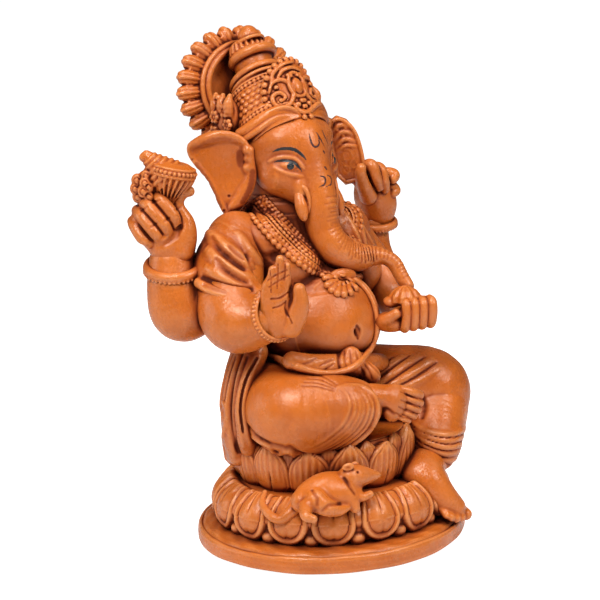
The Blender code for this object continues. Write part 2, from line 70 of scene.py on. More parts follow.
DESIGN_HEIGHT = 183.5  # height in idol millimetres that the shapes below are written for
MM = (CAD_BOX[1][2] - CAD_BOX[0][2]) / DESIGN_HEIGHT  # metres per idol millimetre
PLINTH_LOW, PLINTH_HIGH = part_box("base_plate")
ORIGIN = np.array(((PLINTH_LOW[0] + PLINTH_HIGH[0]) / 2, (PLINTH_LOW[1] + PLINTH_HIGH[1]) / 2, PLINTH_LOW[2]))
FAR = 4.0  # distances are kept only this near a surface
FINE, MEDIUM, COARSE = 0.34, 0.42, 0.5  # grid steps
RELAX = 0.5  # how far a meshed point moves towards its neighbours' average


# --- Geometry helpers ---


def spin(x=0.0, y=0.0, z=0.0):
    """A rotation about X, then Y, then Z, in degrees."""
    turn = Matrix.Rotation(math.radians(z), 3, "Z") @ Matrix.Rotation(math.radians(y), 3, "Y")
    return np.array(turn @ Matrix.Rotation(math.radians(x), 3, "X"))


def spline(points, steps):
    """Points of a Catmull-Rom curve through points of any dimension."""
    p = np.array(points, float)
    p = np.vstack([2 * p[0] - p[1], p, 2 * p[-1] - p[-2]])
    found = []
    for a, b, c, d in zip(p, p[1:], p[2:], p[3:]):
        for t in np.arange(steps) / steps:
            found.append((2 * b + (c - a) * t + (2 * a - 5 * b + 4 * c - d) * t**2 + (3 * b - a - 3 * c + d)
                          * t**3) / 2)
    return np.array([*found, p[-2]])


def along(points, spacing):
    """Points evenly spaced along a polyline of points of any dimension, by their first three numbers."""
    points = np.asarray(points, float)
    gaps = np.linalg.norm(np.diff(points[:, :3], axis=0), axis=1)
    at = np.concatenate([[0], np.cumsum(gaps)])
    count = max(2, int(round(at[-1] / spacing)) + 1)
    want = np.linspace(0, at[-1], count)
    return np.stack([np.interp(want, at, points[:, k]) for k in range(points.shape[1])], axis=1)


def placed(centre, turn, points):
    """Local points (with any further numbers kept) in the idol's frame."""
    points = np.array(points, float)
    points[:, :3] = points[:, :3] @ np.asarray(turn).T + centre
    return points


def local(x, y, z, centre, turn):
    """Coordinates in a frame at centre whose axes are turn's columns."""
    x, y, z = x - centre[0], y - centre[1], z - centre[2]
    if turn is None:
        return x, y, z
    return tuple(turn[0, k] * x + turn[1, k] * y + turn[2, k] * z for k in range(3))


def ramp(value, low, high):
    """0 below low, 1 above high, smooth between."""
    t = np.clip((value - low) / (high - low), 0, 1)
    return t * t * (3 - 2 * t)


def plane_distance(u, v, points):
    """Signed distance in a plane to a closed polygon, negative inside."""
    best, inside = None, None
    for (ax, ay), (bx, by) in zip(points, [*points[1:], points[0]]):
        ex, ey = bx - ax, by - ay
        wx, wy = u - ax, v - ay
        t = np.clip((wx * ex + wy * ey) / (ex * ex + ey * ey + 1e-12), 0, 1)
        gap = (wx - ex * t) ** 2 + (wy - ey * t) ** 2
        best = gap if best is None else np.minimum(best, gap)
        if ey:
            crossing = ((ay <= v) != (by <= v)) & (wx < wy * ex / ey)
            inside = crossing if inside is None else inside ^ crossing
    return np.where(inside, -1, 1) * np.sqrt(best)


class Shape:
    """A distance function of (x, y, z) and the box its surface is in."""

    def __init__(self, low, high, distance):
        self.low, self.high, self.distance = np.array(low, float), np.array(high, float), distance


def ball(centre, radii, turn=None):
    """An ellipsoid."""
    r = np.broadcast_to(np.array(radii, float), 3)
    reach = r if turn is None else np.full(3, r.max())

    def distance(x, y, z):
        u, v, w = local(x, y, z, centre, turn)
        a = np.sqrt((u / r[0]) ** 2 + (v / r[1]) ** 2 + (w / r[2]) ** 2)
        b = np.sqrt((u / r[0] ** 2) ** 2 + (v / r[1] ** 2) ** 2 + (w / r[2] ** 2) ** 2)
        return a * (a - 1) / np.maximum(b, 1e-6)

    return Shape(np.array(centre) - reach, np.array(centre) + reach, distance)


def tube(stations, steps=4):
    """A round tube through stations of (x, y, z, radius)."""
    path = spline(stations, steps) if steps > 1 else np.array(stations, float)
    widest = path[:, 3].max()

    def distance(x, y, z):
        out = np.full((x.size, y.size, z.size), FAR, np.float32)
        axes = (x.ravel(), y.ravel(), z.ravel())
        for p, q in zip(path, path[1:]):
            reach = max(p[3], q[3]) + FAR
            low, high = np.minimum(p[:3], q[:3]) - reach, np.maximum(p[:3], q[:3]) + reach
            part = tuple(slice(*np.searchsorted(a, (l, h))) for a, l, h in zip(axes, low, high))
            if any(s.stop <= s.start for s in part):
                continue
            u = axes[0][part[0]][:, None, None] - p[0]
            v = axes[1][part[1]][None, :, None] - p[1]
            w = axes[2][part[2]][None, None, :] - p[2]
            e = q[:3] - p[:3]
            t = np.clip((u * e[0] + v * e[1] + w * e[2]) / (e @ e + 1e-9), 0, 1)
            away = np.sqrt((u - t * e[0]) ** 2 + (v - t * e[1]) ** 2 + (w - t * e[2]) ** 2)
            gap = away - (p[3] + (q[3] - p[3]) * t)
            out[part] = np.minimum(out[part], gap)
        return out

    return Shape(path[:, :3].min(0) - widest, path[:, :3].max(0) + widest, distance)


def hoop(centre, radius, thick, turn=None, depth=1.0):
    """A ring about its local Z; depth squashes its local Y."""
    reach = radius + thick

    def distance(x, y, z):
        u, v, w = local(x, y, z, centre, turn)
        out = np.sqrt(u**2 + (v / depth) ** 2) - radius
        slope = np.sqrt((u**2 + (v / depth**2) ** 2) / np.maximum(u**2 + (v / depth) ** 2, 1e-6))
        return np.sqrt((out / np.maximum(slope, 0.5)) ** 2 + w**2) - thick

    return Shape(np.array(centre) - reach, np.array(centre) + reach, distance)


def turned(profile, centre, turn=None, wave=None, depth=1.0):
    """A solid turned about its local Z from (radius, height) points; wave(angle, height) widens it."""
    outline = [*profile, *[(-r, h) for r, h in reversed(profile)]]
    reach = math.hypot(max(r for r, _ in profile) + 1.5, max(abs(h) for _, h in profile))

    def distance(x, y, z):
        u, v, w = local(x, y, z, centre, turn)
        rho = np.sqrt(u**2 + (v / depth) ** 2) + 0 * w
        if wave:
            rho = rho - wave(np.arctan2(v / depth, u), w)
        return plane_distance(rho, w + 0 * rho, outline)

    return Shape(np.array(centre) - reach, np.array(centre) + reach, distance)


def slab(outline, thick, centre, turn=None, soft=0.6, bend=0.0):
    """A plate outlined in the local XZ plane, its edges rounded; bend curves it about local Z."""
    reach = math.hypot(max(math.hypot(*p) for p in outline), thick) + 1

    def distance(x, y, z):
        u, v, w = local(x, y, z, centre, turn)
        side = plane_distance(u + 0 * v + 0 * w, w + 0 * u + 0 * v, outline) + soft
        face = np.abs(v - bend * u**2) - thick / 2 + soft
        outer = np.sqrt(np.maximum(side, 0) ** 2 + np.maximum(face, 0) ** 2)
        return outer + np.minimum(np.maximum(side, face), 0) - soft

    return Shape(np.array(centre) - reach, np.array(centre) + reach, distance)


class Clay:
    """A block that shapes are added to and cut from."""

    def __init__(self, low, high, step):
        self.step, self.low = step, np.array(low, float)
        self.count = np.ceil((np.array(high, float) - self.low) / step).astype(int) + 1
        self.field = np.full(self.count, FAR, np.float32)

    def window(self, low, high):
        """The slices and open coordinate grids that cover a box."""
        start = np.clip(np.floor((low - self.low) / self.step).astype(int), 0, self.count)
        stop = np.clip(np.ceil((high - self.low) / self.step).astype(int) + 1, 0, self.count)
        parts = tuple(slice(a, b) for a, b in zip(start, stop))
        axes = [(self.low[k] + self.step * np.arange(start[k], stop[k])).astype(np.float32) for k in range(3)]
        return parts, np.ix_(*axes)

    def add(self, shape, blend=0.0):
        """Joins a shape on, melting the crease over the blend length."""
        margin = 2.5 * self.step + blend
        parts, grid = self.window(shape.low - margin, shape.high + margin)
        old = self.field[parts]
        if not old.size:
            return self
        new = np.minimum(shape.distance(*grid), FAR)
        joined = np.minimum(old, new)
        if blend:
            near = np.maximum(blend - np.abs(old - new), 0) / blend
            joined = joined - near * near * blend / 4
        self.field[parts] = joined
        return self

    def cut(self, shape, blend=0.0):
        """Takes a shape away, rounding the rim over the blend length."""
        margin = 2.5 * self.step + blend
        parts, grid = self.window(shape.low - margin, shape.high + margin)
        old = self.field[parts]
        if not old.size:
            return self
        new = -shape.distance(*grid)
        left = np.maximum(old, new)
        if blend:
            near = np.maximum(blend - np.abs(old - new), 0) / blend
            left = left + near * near * blend / 4
        self.field[parts] = left
        return self

    def relief(self, pattern, low=None, high=None):
        """Raises the surface by pattern(x, y, z) millimetres."""
        low = self.low if low is None else np.array(low, float)
        high = self.low + self.step * self.count if high is None else np.array(high, float)
        parts, grid = self.window(low, high)
        self.field[parts] -= pattern(*grid).astype(np.float32)
        return self


def groove(clay, stations, depth, steps=4, blend=0.3):
    """An engraved line."""
    path = spline(stations, steps)
    clay.cut(tube(np.column_stack([path, np.full(len(path), depth)]), 1), blend)


# --- From clay to mesh ---

PIECES = {}  # name: (points, quads, CAD nodes that it stands for)
BLOCKS = {}  # clay blocks by piece name

AZIMUTH, ELEVATION, ROLL = (math.radians(angle) for angle in (-40, 12, -1.5))  # of the camera
DISTANCE = 640.0  # from the camera to what it looks at, idol millimetres
TARGET = np.array((-6.5, 7.5, 86.5))  # what the camera looks at, idol millimetres
SENSOR, LENS = 36, 106.1  # the camera's, millimetres


def keep_main(points, quads):
    """Leaves only the largest connected part."""
    label = np.arange(len(points))
    while True:
        low = label[quads].min(1)
        fresh = label.copy()
        np.minimum.at(fresh, quads.ravel(), np.repeat(low, 4))
        fresh = fresh[fresh]
        if (fresh == label).all():
            break
        label = fresh
    names, sizes = np.unique(label[quads[:, 0]], return_counts=True)
    quads = quads[label[quads[:, 0]] == names[sizes.argmax()]]
    used, quads = np.unique(quads, return_inverse=True)
    return points[used], quads.reshape(-1, 4)


def neighbours_mean(points, quads):
    """Each point's neighbours' average."""
    a = np.concatenate([quads[:, k] for k in range(4)])
    b = np.concatenate([quads[:, (k + 1) % 4] for k in range(4)])
    count = np.bincount(a, minlength=len(points)) + np.bincount(b, minlength=len(points))
    mean = np.empty_like(points)
    for k in range(3):
        total = np.bincount(a, points[b, k], len(points)) + np.bincount(b, points[a, k], len(points))
        mean[:, k] = total / np.maximum(count, 1)
    return mean


def normals_of(points, quads):
    """Unit vertex normals."""
    across = np.cross(points[quads[:, 2]] - points[quads[:, 0]], points[quads[:, 3]] - points[quads[:, 1]])
    out = np.zeros_like(points)
    for k in range(4):
        for axis in range(3):
            out[:, axis] += np.bincount(quads[:, k], across[:, axis], len(points))
    return out / np.maximum(np.linalg.norm(out, axis=1, keepdims=True), 1e-9)


def volume_of(points, quads):
    """Signed volume."""
    a, b, c, d = (points[quads[:, k]] for k in range(4))
    return (np.einsum("ij,ij->i", a, np.cross(b, c)) + np.einsum("ij,ij->i", a, np.cross(c, d))).sum() / 6


def fire(name, clay, nodes):
    """Meshes a clay block into a piece that stands for CAD nodes."""
    grid = openvdb.FloatGrid(FAR)
    grid.copyFromArray(np.ascontiguousarray(clay.field, np.float32))
    points, quads = grid.convertToQuads(0.0)
    points, quads = keep_main(points.astype(float), quads.astype(np.int64))
    points = clay.low + points * clay.step
    if volume_of(points, quads) < 0:
        quads = quads[:, ::-1]
    points = points + RELAX * (neighbours_mean(points, quads) - points)
    PIECES[name] = (points, quads, nodes)
    BLOCKS[name] = clay
    print(name, len(quads), "quads")


def piece_object(name, points, quads, attributes):
    """A mesh object in metres with named per-point values."""
    mesh = bpy.data.meshes.new(name)
    mesh.vertices.add(len(points))
    mesh.vertices.foreach_set("co", (ORIGIN + points * MM).astype(np.float32).ravel())
    mesh.loops.add(quads.size)
    mesh.loops.foreach_set("vertex_index", quads.astype(np.int32).ravel())
    mesh.polygons.add(len(quads))
    mesh.polygons.foreach_set("loop_start", np.arange(0, quads.size, 4, dtype=np.int32))
    mesh.update(calc_edges=True)
    mesh.validate()
    mesh.shade_smooth()
    for label, values in attributes.items():
        layer = mesh.attributes.new(label, "FLOAT", "POINT")
        layer.data.foreach_set("value", values.astype(np.float32))
    obj = bpy.data.objects.new(name, mesh)
    bpy.context.scene.collection.objects.link(obj)
    return obj


# --- Laying details on a block along the camera's lines of sight ---


def sight_frame():
    """The viewpoint and the viewing plane's right and up directions, in idol millimetres."""
    back = Vector((math.sin(AZIMUTH) * math.cos(ELEVATION), -math.cos(AZIMUTH) * math.cos(ELEVATION),
                   math.sin(ELEVATION)))
    right = Vector((math.cos(AZIMUTH), math.sin(AZIMUTH), 0))
    up = back.cross(right)
    side = right * math.cos(ROLL) + up * math.sin(ROLL)
    top = up * math.cos(ROLL) - right * math.sin(ROLL)
    return TARGET + DISTANCE * np.array(back), np.array(side), np.array(top), np.array(back)


def laid(clays, spots, rise=0.0, smooth=0):
    """Viewing-plane spots (right, up, ...) on the blocks' skin along the lines of sight, lifted by rise."""
    spots = np.array(spots, float)
    if smooth:
        spots = spline(spots, smooth)
    viewpoint, side, top, _ = sight_frame()
    aim = TARGET + spots[:, :1] * side + spots[:, 1:2] * top - viewpoint
    aim /= np.linalg.norm(aim, axis=1, keepdims=True)
    reach = np.arange(DISTANCE - 75, DISTANCE + 75, 0.2)
    at = viewpoint + aim[:, None, :] * reach[None, :, None]
    found = np.zeros((len(spots), 3))
    nearest = np.full(len(spots), np.inf)
    for clay in clays if isinstance(clays, list) else [clays]:
        index = np.rint((at - clay.low) / clay.step).astype(int)
        inside = ((index >= 1) & (index < clay.count - 1)).all(-1)
        index = np.clip(index, 1, clay.count - 2)
        value = np.where(inside, clay.field[tuple(index.transpose(2, 0, 1))], FAR)
        misses = ~(value < 0).any(1)
        first = np.where(misses, value.argmin(1), (value < 0).argmax(1))
        rows = np.arange(len(at))
        hit, i = at[rows, first], index[rows, first]
        slope = np.stack([clay.field[tuple((i + step).T)] - clay.field[tuple((i - step).T)]
                          for step in np.eye(3, dtype=int)], 1)
        slope = slope / np.maximum(np.linalg.norm(slope, axis=1, keepdims=True), 1e-6)
        gap = clay.field[tuple(i.T)] + np.einsum("ij,ij->i", slope, hit - (clay.low + clay.step * i))
        toward = np.minimum(np.einsum("ij,ij->i", slope, aim), -0.35)
        move = np.where(misses[:, None], -slope * np.clip(gap, 0, 6)[:, None],
                        -aim * np.clip(gap / toward, -1, 1)[:, None])
        order = np.where(misses, 1000 + value.min(1), reach[first])
        better = order < nearest
        nearest = np.where(better, order, nearest)
        found = np.where(better[:, None], hit + move + slope * rise, found)
    return np.column_stack([found, spots[:, 2:]])


def copied(clay):
    """A block with the same form, kept as the base that details are laid on."""
    twin = Clay(clay.low, clay.low + 2 * clay.step, clay.step)
    twin.count = clay.count.copy()
    twin.field = clay.field.copy()
    return twin


def mirror(points):
    """The points of the other side."""
    points = np.array(points, float)
    points[:, 0] = -points[:, 0]
    return points


def stroke(clay, base, spots, radius, rise=0.0, blend=0.5, dig=False, both=False):
    """A ridge, or a groove when dig is set, laid on a block's skin along a path of viewing-plane spots."""
    path = laid(base, spots, rise, 5)
    ends = np.linspace(0, np.pi, len(path))
    width = radius * (0.55 + 0.45 * np.sin(ends) ** 0.5)
    path = np.column_stack([path[:, :3], width])
    for line in (path, mirror(path)) if both else (path,):
        (clay.cut if dig else clay.add)(tube(line, 1), blend)


def necklace_row(clay, base, spots, start, bead, cord, rise):
    """One bead row or cord laid on the chest from the neck's side to the middle and mirrored."""
    half = laid(base, spots, rise, 6)[:, :3]
    path = np.vstack([[start], half])
    path = np.vstack([path, mirror(path[::-1])])
    if cord:
        clay.add(tube(np.column_stack([path, np.full(len(path), cord)]), 1), 0.15)
    if bead:
        clay.add(tube(np.column_stack([path, np.full(len(path), bead * 0.6)]), 1), 0.15)
        for spot in along(path, bead * 1.95):
            clay.add(ball(spot, bead), 0.1)


def engrave(name, clay, base, spots, radius, strength=0.95):
    """A fine cut line that holds the dark wash."""
    stroke(clay, base, spots, radius, blend=0.3, dig=True)
    path = laid(base, spots, 0, 8)[:, :3]
    STAINS.setdefault(name, []).append((path, radius * 1.25, strength))


# --- Where the dark wash and the painted shade go ---

MAP_STEP = 1.0  # step of the coarse grid that says how enclosed a place is
STAINS = {}  # engraved lines that hold the wash: piece name -> (path, radius, strength)
# How much more or less of the dark wash and painted shade than usual a piece holds.
WASH_AND_PAINTED_SHADE = {
    "plinth_sculpt": 0.6,
    "bead_necklace_sculpt": 1.7,
    "bead_garland_sculpt": 1.5,
    "halo_sculpt": 1.1,
    "crown_sculpt": 1.2,
    "rosette_right_sculpt": 1.3,
}


def stained(points, path, radius):
    """How near each point is to a line of stain, 1 on the line and 0 beyond the radius."""
    found = np.zeros(len(points))
    box = ((points > path.min(0) - radius) & (points < path.max(0) + radius)).all(1)
    inside = np.nonzero(box)[0]
    if len(inside):
        gap = np.linalg.norm(points[inside][:, None] - path[None], axis=2).min(1)
        found[inside] = np.clip(1.4 * (1 - (gap / radius) ** 2), 0, 1)
    return found


def crevice(clay, points, normal, reach):
    """How hemmed in each point is by its own block at a reach above the skin, 0 to 1."""
    spot = (points + reach * normal - clay.low) / clay.step
    corner = np.clip(np.floor(spot).astype(int), 0, clay.count - 2)
    share = np.clip(spot - corner, 0, 1)
    total = 0
    for step in np.ndindex(2, 2, 2):
        weight = np.prod(np.where(step, share, 1 - share), axis=1)
        total = total + weight * clay.field[tuple((corner + step).T)]
    return np.clip(1 - total / reach, 0, 1)


def solid_map():
    """How solid each point of a coarse grid round the idol is, 0 to 1, and the grid's low corner."""
    low, high = np.array((-66.0, -54.0, -4.0)), np.array((66.0, 60.0, 192.0))
    count = ((high - low) / MAP_STEP).astype(int) + 1
    solid = np.zeros(count, np.float32)
    for clay in BLOCKS.values():
        start = np.ceil((clay.low - low) / MAP_STEP).astype(int)
        stop = np.floor((clay.low + clay.step * (clay.count - 1) - low) / MAP_STEP).astype(int) + 1
        start, stop = np.clip(start, 0, count), np.clip(stop, 0, count)
        pick = [
            np.clip(np.rint((low[k] + MAP_STEP * np.arange(start[k], stop[k])
                             - clay.low[k]) / clay.step).astype(int),
                    0, clay.count[k] - 1)
            for k in range(3)
        ]
        value = np.clip(0.5 - clay.field[np.ix_(*pick)] / MAP_STEP, 0, 1)
        part = tuple(slice(a, b) for a, b in zip(start, stop))
        solid[part] = np.maximum(solid[part], value)
    return solid, low


def blurred(values, reach):
    """A box blur 2 * reach + 1 cells wide, run twice."""
    width = 2 * reach + 1
    for _ in range(2):
        for axis in range(3):
            padded = np.pad(values, [(reach + 1, reach) if k == axis else (0, 0) for k in range(3)],
                            mode="edge")
            total = np.cumsum(padded, axis=axis, dtype=np.float64)
            count = values.shape[axis]
            ahead = np.take(total, np.arange(width, width + count), axis=axis)
            behind = np.take(total, np.arange(count), axis=axis)
            values = ((ahead - behind) / width).astype(np.float32)
    return values


def sampled(values, low, points):
    """Values between the grid's points, linearly."""
    at = np.clip((points - low) / MAP_STEP, 0, np.array(values.shape) - 1.001)
    base = np.floor(at).astype(int)
    part = at - base
    total = np.zeros(len(points))
    for corner in range(8):
        step = np.array([corner & 1, corner >> 1 & 1, corner >> 2 & 1])
        weight = np.prod(np.where(step, part, 1 - part), axis=1)
        i, j, k = (base + step).T
        total += weight * values[i, j, k]
    return total


def wash_wear_and_painted_shade():
    """Per-point recess values (dark wash in crevices and engraved lines, plus painted shade where the idol's
    parts and hollows enclose a point) and ridge values for every piece.
    """
    solid, low = solid_map()
    near, wide = blurred(solid, 1), blurred(solid, 4)
    found = {}
    for name, (points, quads, _) in PIECES.items():
        normal = normals_of(points, quads)
        mean = neighbours_mean(points, quads)
        fine = np.einsum("ij,ij->i", mean - points, normal)
        spread = points
        for _ in range(9):
            spread = neighbours_mean(spread, quads)
        broad = np.einsum("ij,ij->i", spread - points, normal)
        # Painted shade: close and deep darken a point the more the idol's parts around it enclose it, near and
        # farther out; with the hollows' curvature and the crevice term they also carry the dark wash.
        close = np.clip(sampled(near, low, points + 1.8 * normal) * 1.25, 0, 1)
        deep = np.clip(sampled(wide, low, points + 5.0 * normal) * 1.7 - 0.22, 0, 1)
        recess = 0.62 * close + 0.95 * deep + 6.5 * np.clip(fine, 0, 1) + 1.6 * np.clip(broad, 0, 1)
        if BLOCKS[name].step < 0.9:
            recess += 1.0 * crevice(BLOCKS[name], points, normal, 0.9)
        for path, radius, strength in STAINS.get(name, ()):
            recess = np.maximum(recess, stained(points, path, radius) * strength)
        recess = np.clip((recess - 0.05) * WASH_AND_PAINTED_SHADE.get(name, 1.0), 0, 1)
        ridge = np.clip(-7.0 * fine - 1.8 * broad, 0, 1) * (1 - recess)
        found[name] = (recess, ridge)
    return found


# --- Plinth and lotus ---

VIEW = spin(z=-40)  # turns a hand or an attribute outward by 40 degrees
OVAL = 47.0 / 51.0  # plinth depth to width


def turned_mesh(name, nodes, profile, columns, oval, centre, relief):
    """A mesh turned about Z from (radius, height) points; relief(angle, radius, height) is added outward."""
    profile = np.array(profile, float)
    angle = np.linspace(0, 2 * np.pi, columns, endpoint=False)
    tangent = np.gradient(profile, axis=0)
    out = np.stack([tangent[:, 1], -tangent[:, 0]], axis=1)
    out /= np.maximum(np.linalg.norm(out, axis=1, keepdims=True), 1e-9)
    a, r = np.meshgrid(angle, np.arange(len(profile)), indexing="ij")
    rho, height = profile[r, 0], profile[r, 1]
    bump = relief(a, rho, height)
    rho = rho + bump * out[r, 0]
    height = height + bump * out[r, 1]
    points = np.stack([rho * np.cos(a) + centre[0], rho * oval * np.sin(a) + centre[1], height],
                      axis=-1).reshape(-1, 3)
    rows = len(profile)
    i = np.arange(columns)[:, None]
    j = np.arange(rows - 1)[None, :]
    here, there = i * rows + j, (i + 1) % columns * rows + j
    quads = np.stack([here, there, there + 1, here + 1], axis=-1).reshape(-1, 4)
    # The first and last rings are small. Each closes onto a centre point by a fan of quads.
    ends = []
    for row, up in ((0, False), (rows - 1, True)):
        centre_id = len(points)
        points = np.vstack([points, points[row::rows][:columns].mean(0)])
        k = np.arange(0, columns, 2)
        a0, a1, a2 = (k * rows + row, (k + 1) % columns * rows + row, (k + 2) % columns * rows + row)
        fan = np.stack([np.full(len(k), centre_id), a0, a1, a2], axis=1)
        ends.append(fan if up else fan[:, ::-1])
    quads = np.vstack([quads, *ends])
    if volume_of(points, quads) < 0:
        quads = quads[:, ::-1]
    PIECES[name] = (points, quads, nodes)
    return points, quads


def plinth():
    """Oval plate: flat underside, bulged side, a groove near the top edge and a gently crowned top."""
    control = [(1.0, 0.0), (30, 0.0), (49.6, 0.0), (50.6, 0.35), (51.0, 1.2), (51.1, 3.2), (50.9, 5.0),
               (50.4, 5.9), (49.6, 6.2), (49.45, 5.8), (49.1, 5.8), (48.9, 6.35), (48.2, 6.9), (46.5, 7.4),
               (43, 7.8), (30, 8.0), (1.0, 8.0)]
    profile = along(np.column_stack([control, np.zeros(len(control))]), 0.3)[:, :2]
    far = profile[:, 0] < 42
    profile = np.vstack([profile[far & (profile[:, 1] < 1)][::12], profile[~far],
                         profile[far & (profile[:, 1] > 1)][::4]])

    def relief(angle, rho, height):
        side = np.exp(-(((rho - 50) / 2.5) ** 2))
        top = ramp(height, 5.5,
                   7.0) * (0.12 * np.sin(13 * angle + rho * 0.7) + 0.1 * np.sin(29 * angle - rho * 1.1))
        return side * (0.16 * np.sin(3 * angle + 1) + 0.1 * np.sin(7 * angle) + 0.05
                       * np.sin(17 * angle + height)) + top

    turned_mesh("plinth_sculpt", ["base_plate"], profile, 420, OVAL, (0, 0), relief)
    block = Clay((-54, -50, -2), (54, 50, 12), 1.0)
    block.add(Shape((-52, -48, 0), (52, 48, 8), lambda x, y, z: np.maximum(
        np.sqrt(x**2 + (y / OVAL) ** 2) - 50.8, np.abs(z - 4) - 4)))
    BLOCKS["plinth_sculpt"] = block


LOWER_PETALS, UPPER_PETALS = 16, 14


def lower_petal(s, z):
    """Relief of one downward petal: s is millimetres from its middle line, z is height."""
    low, mid, half = 8.4, 15.4, 8.0
    fall = np.clip((mid - z) / (mid - low), 0, 2)
    rise = np.clip((z - mid) / 11, 0, 1)
    round_end = (1 - np.sqrt((s / half) ** 2 + fall**2)) * (mid - low)
    inside = np.where(z < mid, round_end, half * (1 - 0.28 * rise**1.4) - np.abs(s))
    outer = 2.1 * np.sqrt(np.clip(1 - ((inside - 1.15) / 1.25) ** 2, 0, 1))
    inner = 1.15 + 0.95 * np.exp(-(((inside - 1.15) / 0.85) ** 2))
    roll = outer * (inside < 1.15) + (inside >= 1.15) * inner
    notch = 0.55 * np.exp(-((s / 0.8) ** 2)) * (z < mid)
    panel = inside - 2.5 - notch
    bulge = 1.25 * np.sqrt(np.clip(panel / 3.5, 0, 1))
    split = 0.5 * np.exp(-((s / 0.5) ** 2)) * ramp(z, 16.0, 19.0)
    creases = 0.28 * np.cos(s * 2.3) * ramp(z, 18.5, 22.5)
    return np.where(inside > 0, roll + bulge - split + creases, 0)


def lower_lotus():
    """Tier of broad petals that hang over the plinth, with nubs of a second row between their tips."""
    control = [(2.0, 7.6), (30, 7.6), (39.5, 7.7), (41.2, 8.4), (42.6, 10), (43.4, 12.5), (43.3, 15.0),
               (42.4, 17.6), (40.6, 19.8), (38.4, 21.3), (36.2, 22.0), (34.0, 22.2), (30, 22.4), (2.0, 22.4)]
    profile = along(spline(np.column_stack([control, np.zeros(len(control))]), 4), 0.4)[:, :2]
    far = profile[:, 0] < 30
    profile = np.vstack([profile[far & (profile[:, 1] < 9)][::10], profile[~far],
                         profile[far & (profile[:, 1] > 9)][::8]])
    pitch = 2 * np.pi / LOWER_PETALS
    start = math.radians(-90 - 37.5)

    def relief(angle, rho, height):
        off = (angle - start + pitch / 2) % pitch - pitch / 2
        index = np.floor((angle - start + pitch / 2) / pitch)
        s = off * 44.5 * (1 + 0.03 * np.sin(index * 2.3)) + 0.45 * np.sin(index * 1.7)
        z = height + 0.5 * np.sin(index * 2.9)
        petal = lower_petal(s, z)
        gap = (pitch / 2 - np.abs(off)) * 44.5
        nub = 2.2 * np.sqrt(np.clip(1 - (gap / 3.0) ** 2 - ((height - 9.6) / 2.3) ** 2, 0, 1))
        under = 1.3 * np.sqrt(np.clip(1 - (gap / 2.6) ** 2, 0, 1)) * ramp(height, 13.5, 16)
        under = under * (1 - ramp(height, 22, 25))
        return np.maximum(petal, np.maximum(nub, under)) * ramp(rho, 34.5, 37.5)

    turned_mesh("lower_lotus_sculpt", ["lower_lotus"], profile, 760, OVAL, (0, 0), relief)
    block = Clay((-50, -46, 5), (50, 46, 30), 1.0)
    block.add(turned([(44.5, 7.6), (45.4, 13), (43.2, 18), (39, 21.3), (34, 22.4)], (0, 0, 0), depth=OVAL))
    BLOCKS["lower_lotus_sculpt"] = block


def upper_petal(s, z, height):
    """Relief of one upright petal with a blunt tip: s is millimetres from its middle line."""
    t = np.clip((z - 21.0) / height, 0.001, 1.0)
    taper = np.maximum(1 - np.clip((t - 0.4) / 0.6, 0, 1) ** 2.6, 0) ** 0.52
    width = 9.2 * np.minimum(1, (t * 4.0) ** 0.5) * taper + 0.01
    inside = width - np.abs(s)
    dome = 3.9 * np.clip(1 - (s / width) ** 2, 0, 1) ** 0.45 * (0.8 + 0.2 * t)
    edge = 0.22 * np.exp(-(((inside - 1.5) / 0.5) ** 2)) - 0.16 * np.exp(-(((inside - 2.5) / 0.4) ** 2))
    lines = 0.7 * np.exp(-(((s - 0.6 - 0.1 * (z - 27)) / 0.42) ** 2))
    lines = lines * (1 - ramp(t, 0.35, 0.6)) * ramp(t, 0.1, 0.25)
    ripple = 0.14 * np.cos(s * 2.6 + 1.2) * ramp(inside, 2.6, 3.4) * ramp(t, 0.3, 0.5)
    return np.where(inside > 0, dome + edge + ripple - lines, 0)


def upper_lotus():
    """Tier of upright domed petals under the seat, a second row showing between them."""
    control = [(2.0, 22.6), (24, 22.6), (28.0, 22.8), (29.8, 24.6), (30.8, 27.6), (31.5, 31.5), (31.6, 35.0),
               (31.3, 37.6), (29.8, 39.2), (27.5, 39.6), (2.0, 39.6)]
    profile = along(spline(np.column_stack([control, np.zeros(len(control))]), 4), 0.36)[:, :2]
    far = profile[:, 0] < 25
    profile = np.vstack([profile[far & (profile[:, 1] < 30)][::10], profile[~far],
                         profile[far & (profile[:, 1] > 30)][::8]])
    pitch = 2 * np.pi / UPPER_PETALS
    start = math.radians(-139.5)

    def relief(angle, rho, height):
        off = (angle - start + pitch / 2) % pitch - pitch / 2
        index = np.floor((angle - start + pitch / 2) / pitch)
        s = off * 34.5 + 0.4 * np.sin(index * 2.1)
        front = upper_petal(s, height, 17.4 + 0.6 * np.sin(index * 3.1))
        behind = upper_petal((pitch / 2 - np.abs(off)) * 34.5 * 1.3, height - 0.2, 18.0) * 0.5
        return np.maximum(front, behind) * ramp(rho, 25, 28)

    turned_mesh("upper_lotus_sculpt", ["upper_lotus"], profile, 620, 0.97, (0, 4), relief)
    block = Clay((-38, -34, 20), (38, 42, 42), 1.0)
    block.add(turned([(28, 22.8), (34.0, 30), (34.2, 36), (30, 39.5)], (0, 4, 0)))
    BLOCKS["upper_lotus_sculpt"] = block


# --- Body and clothes ---


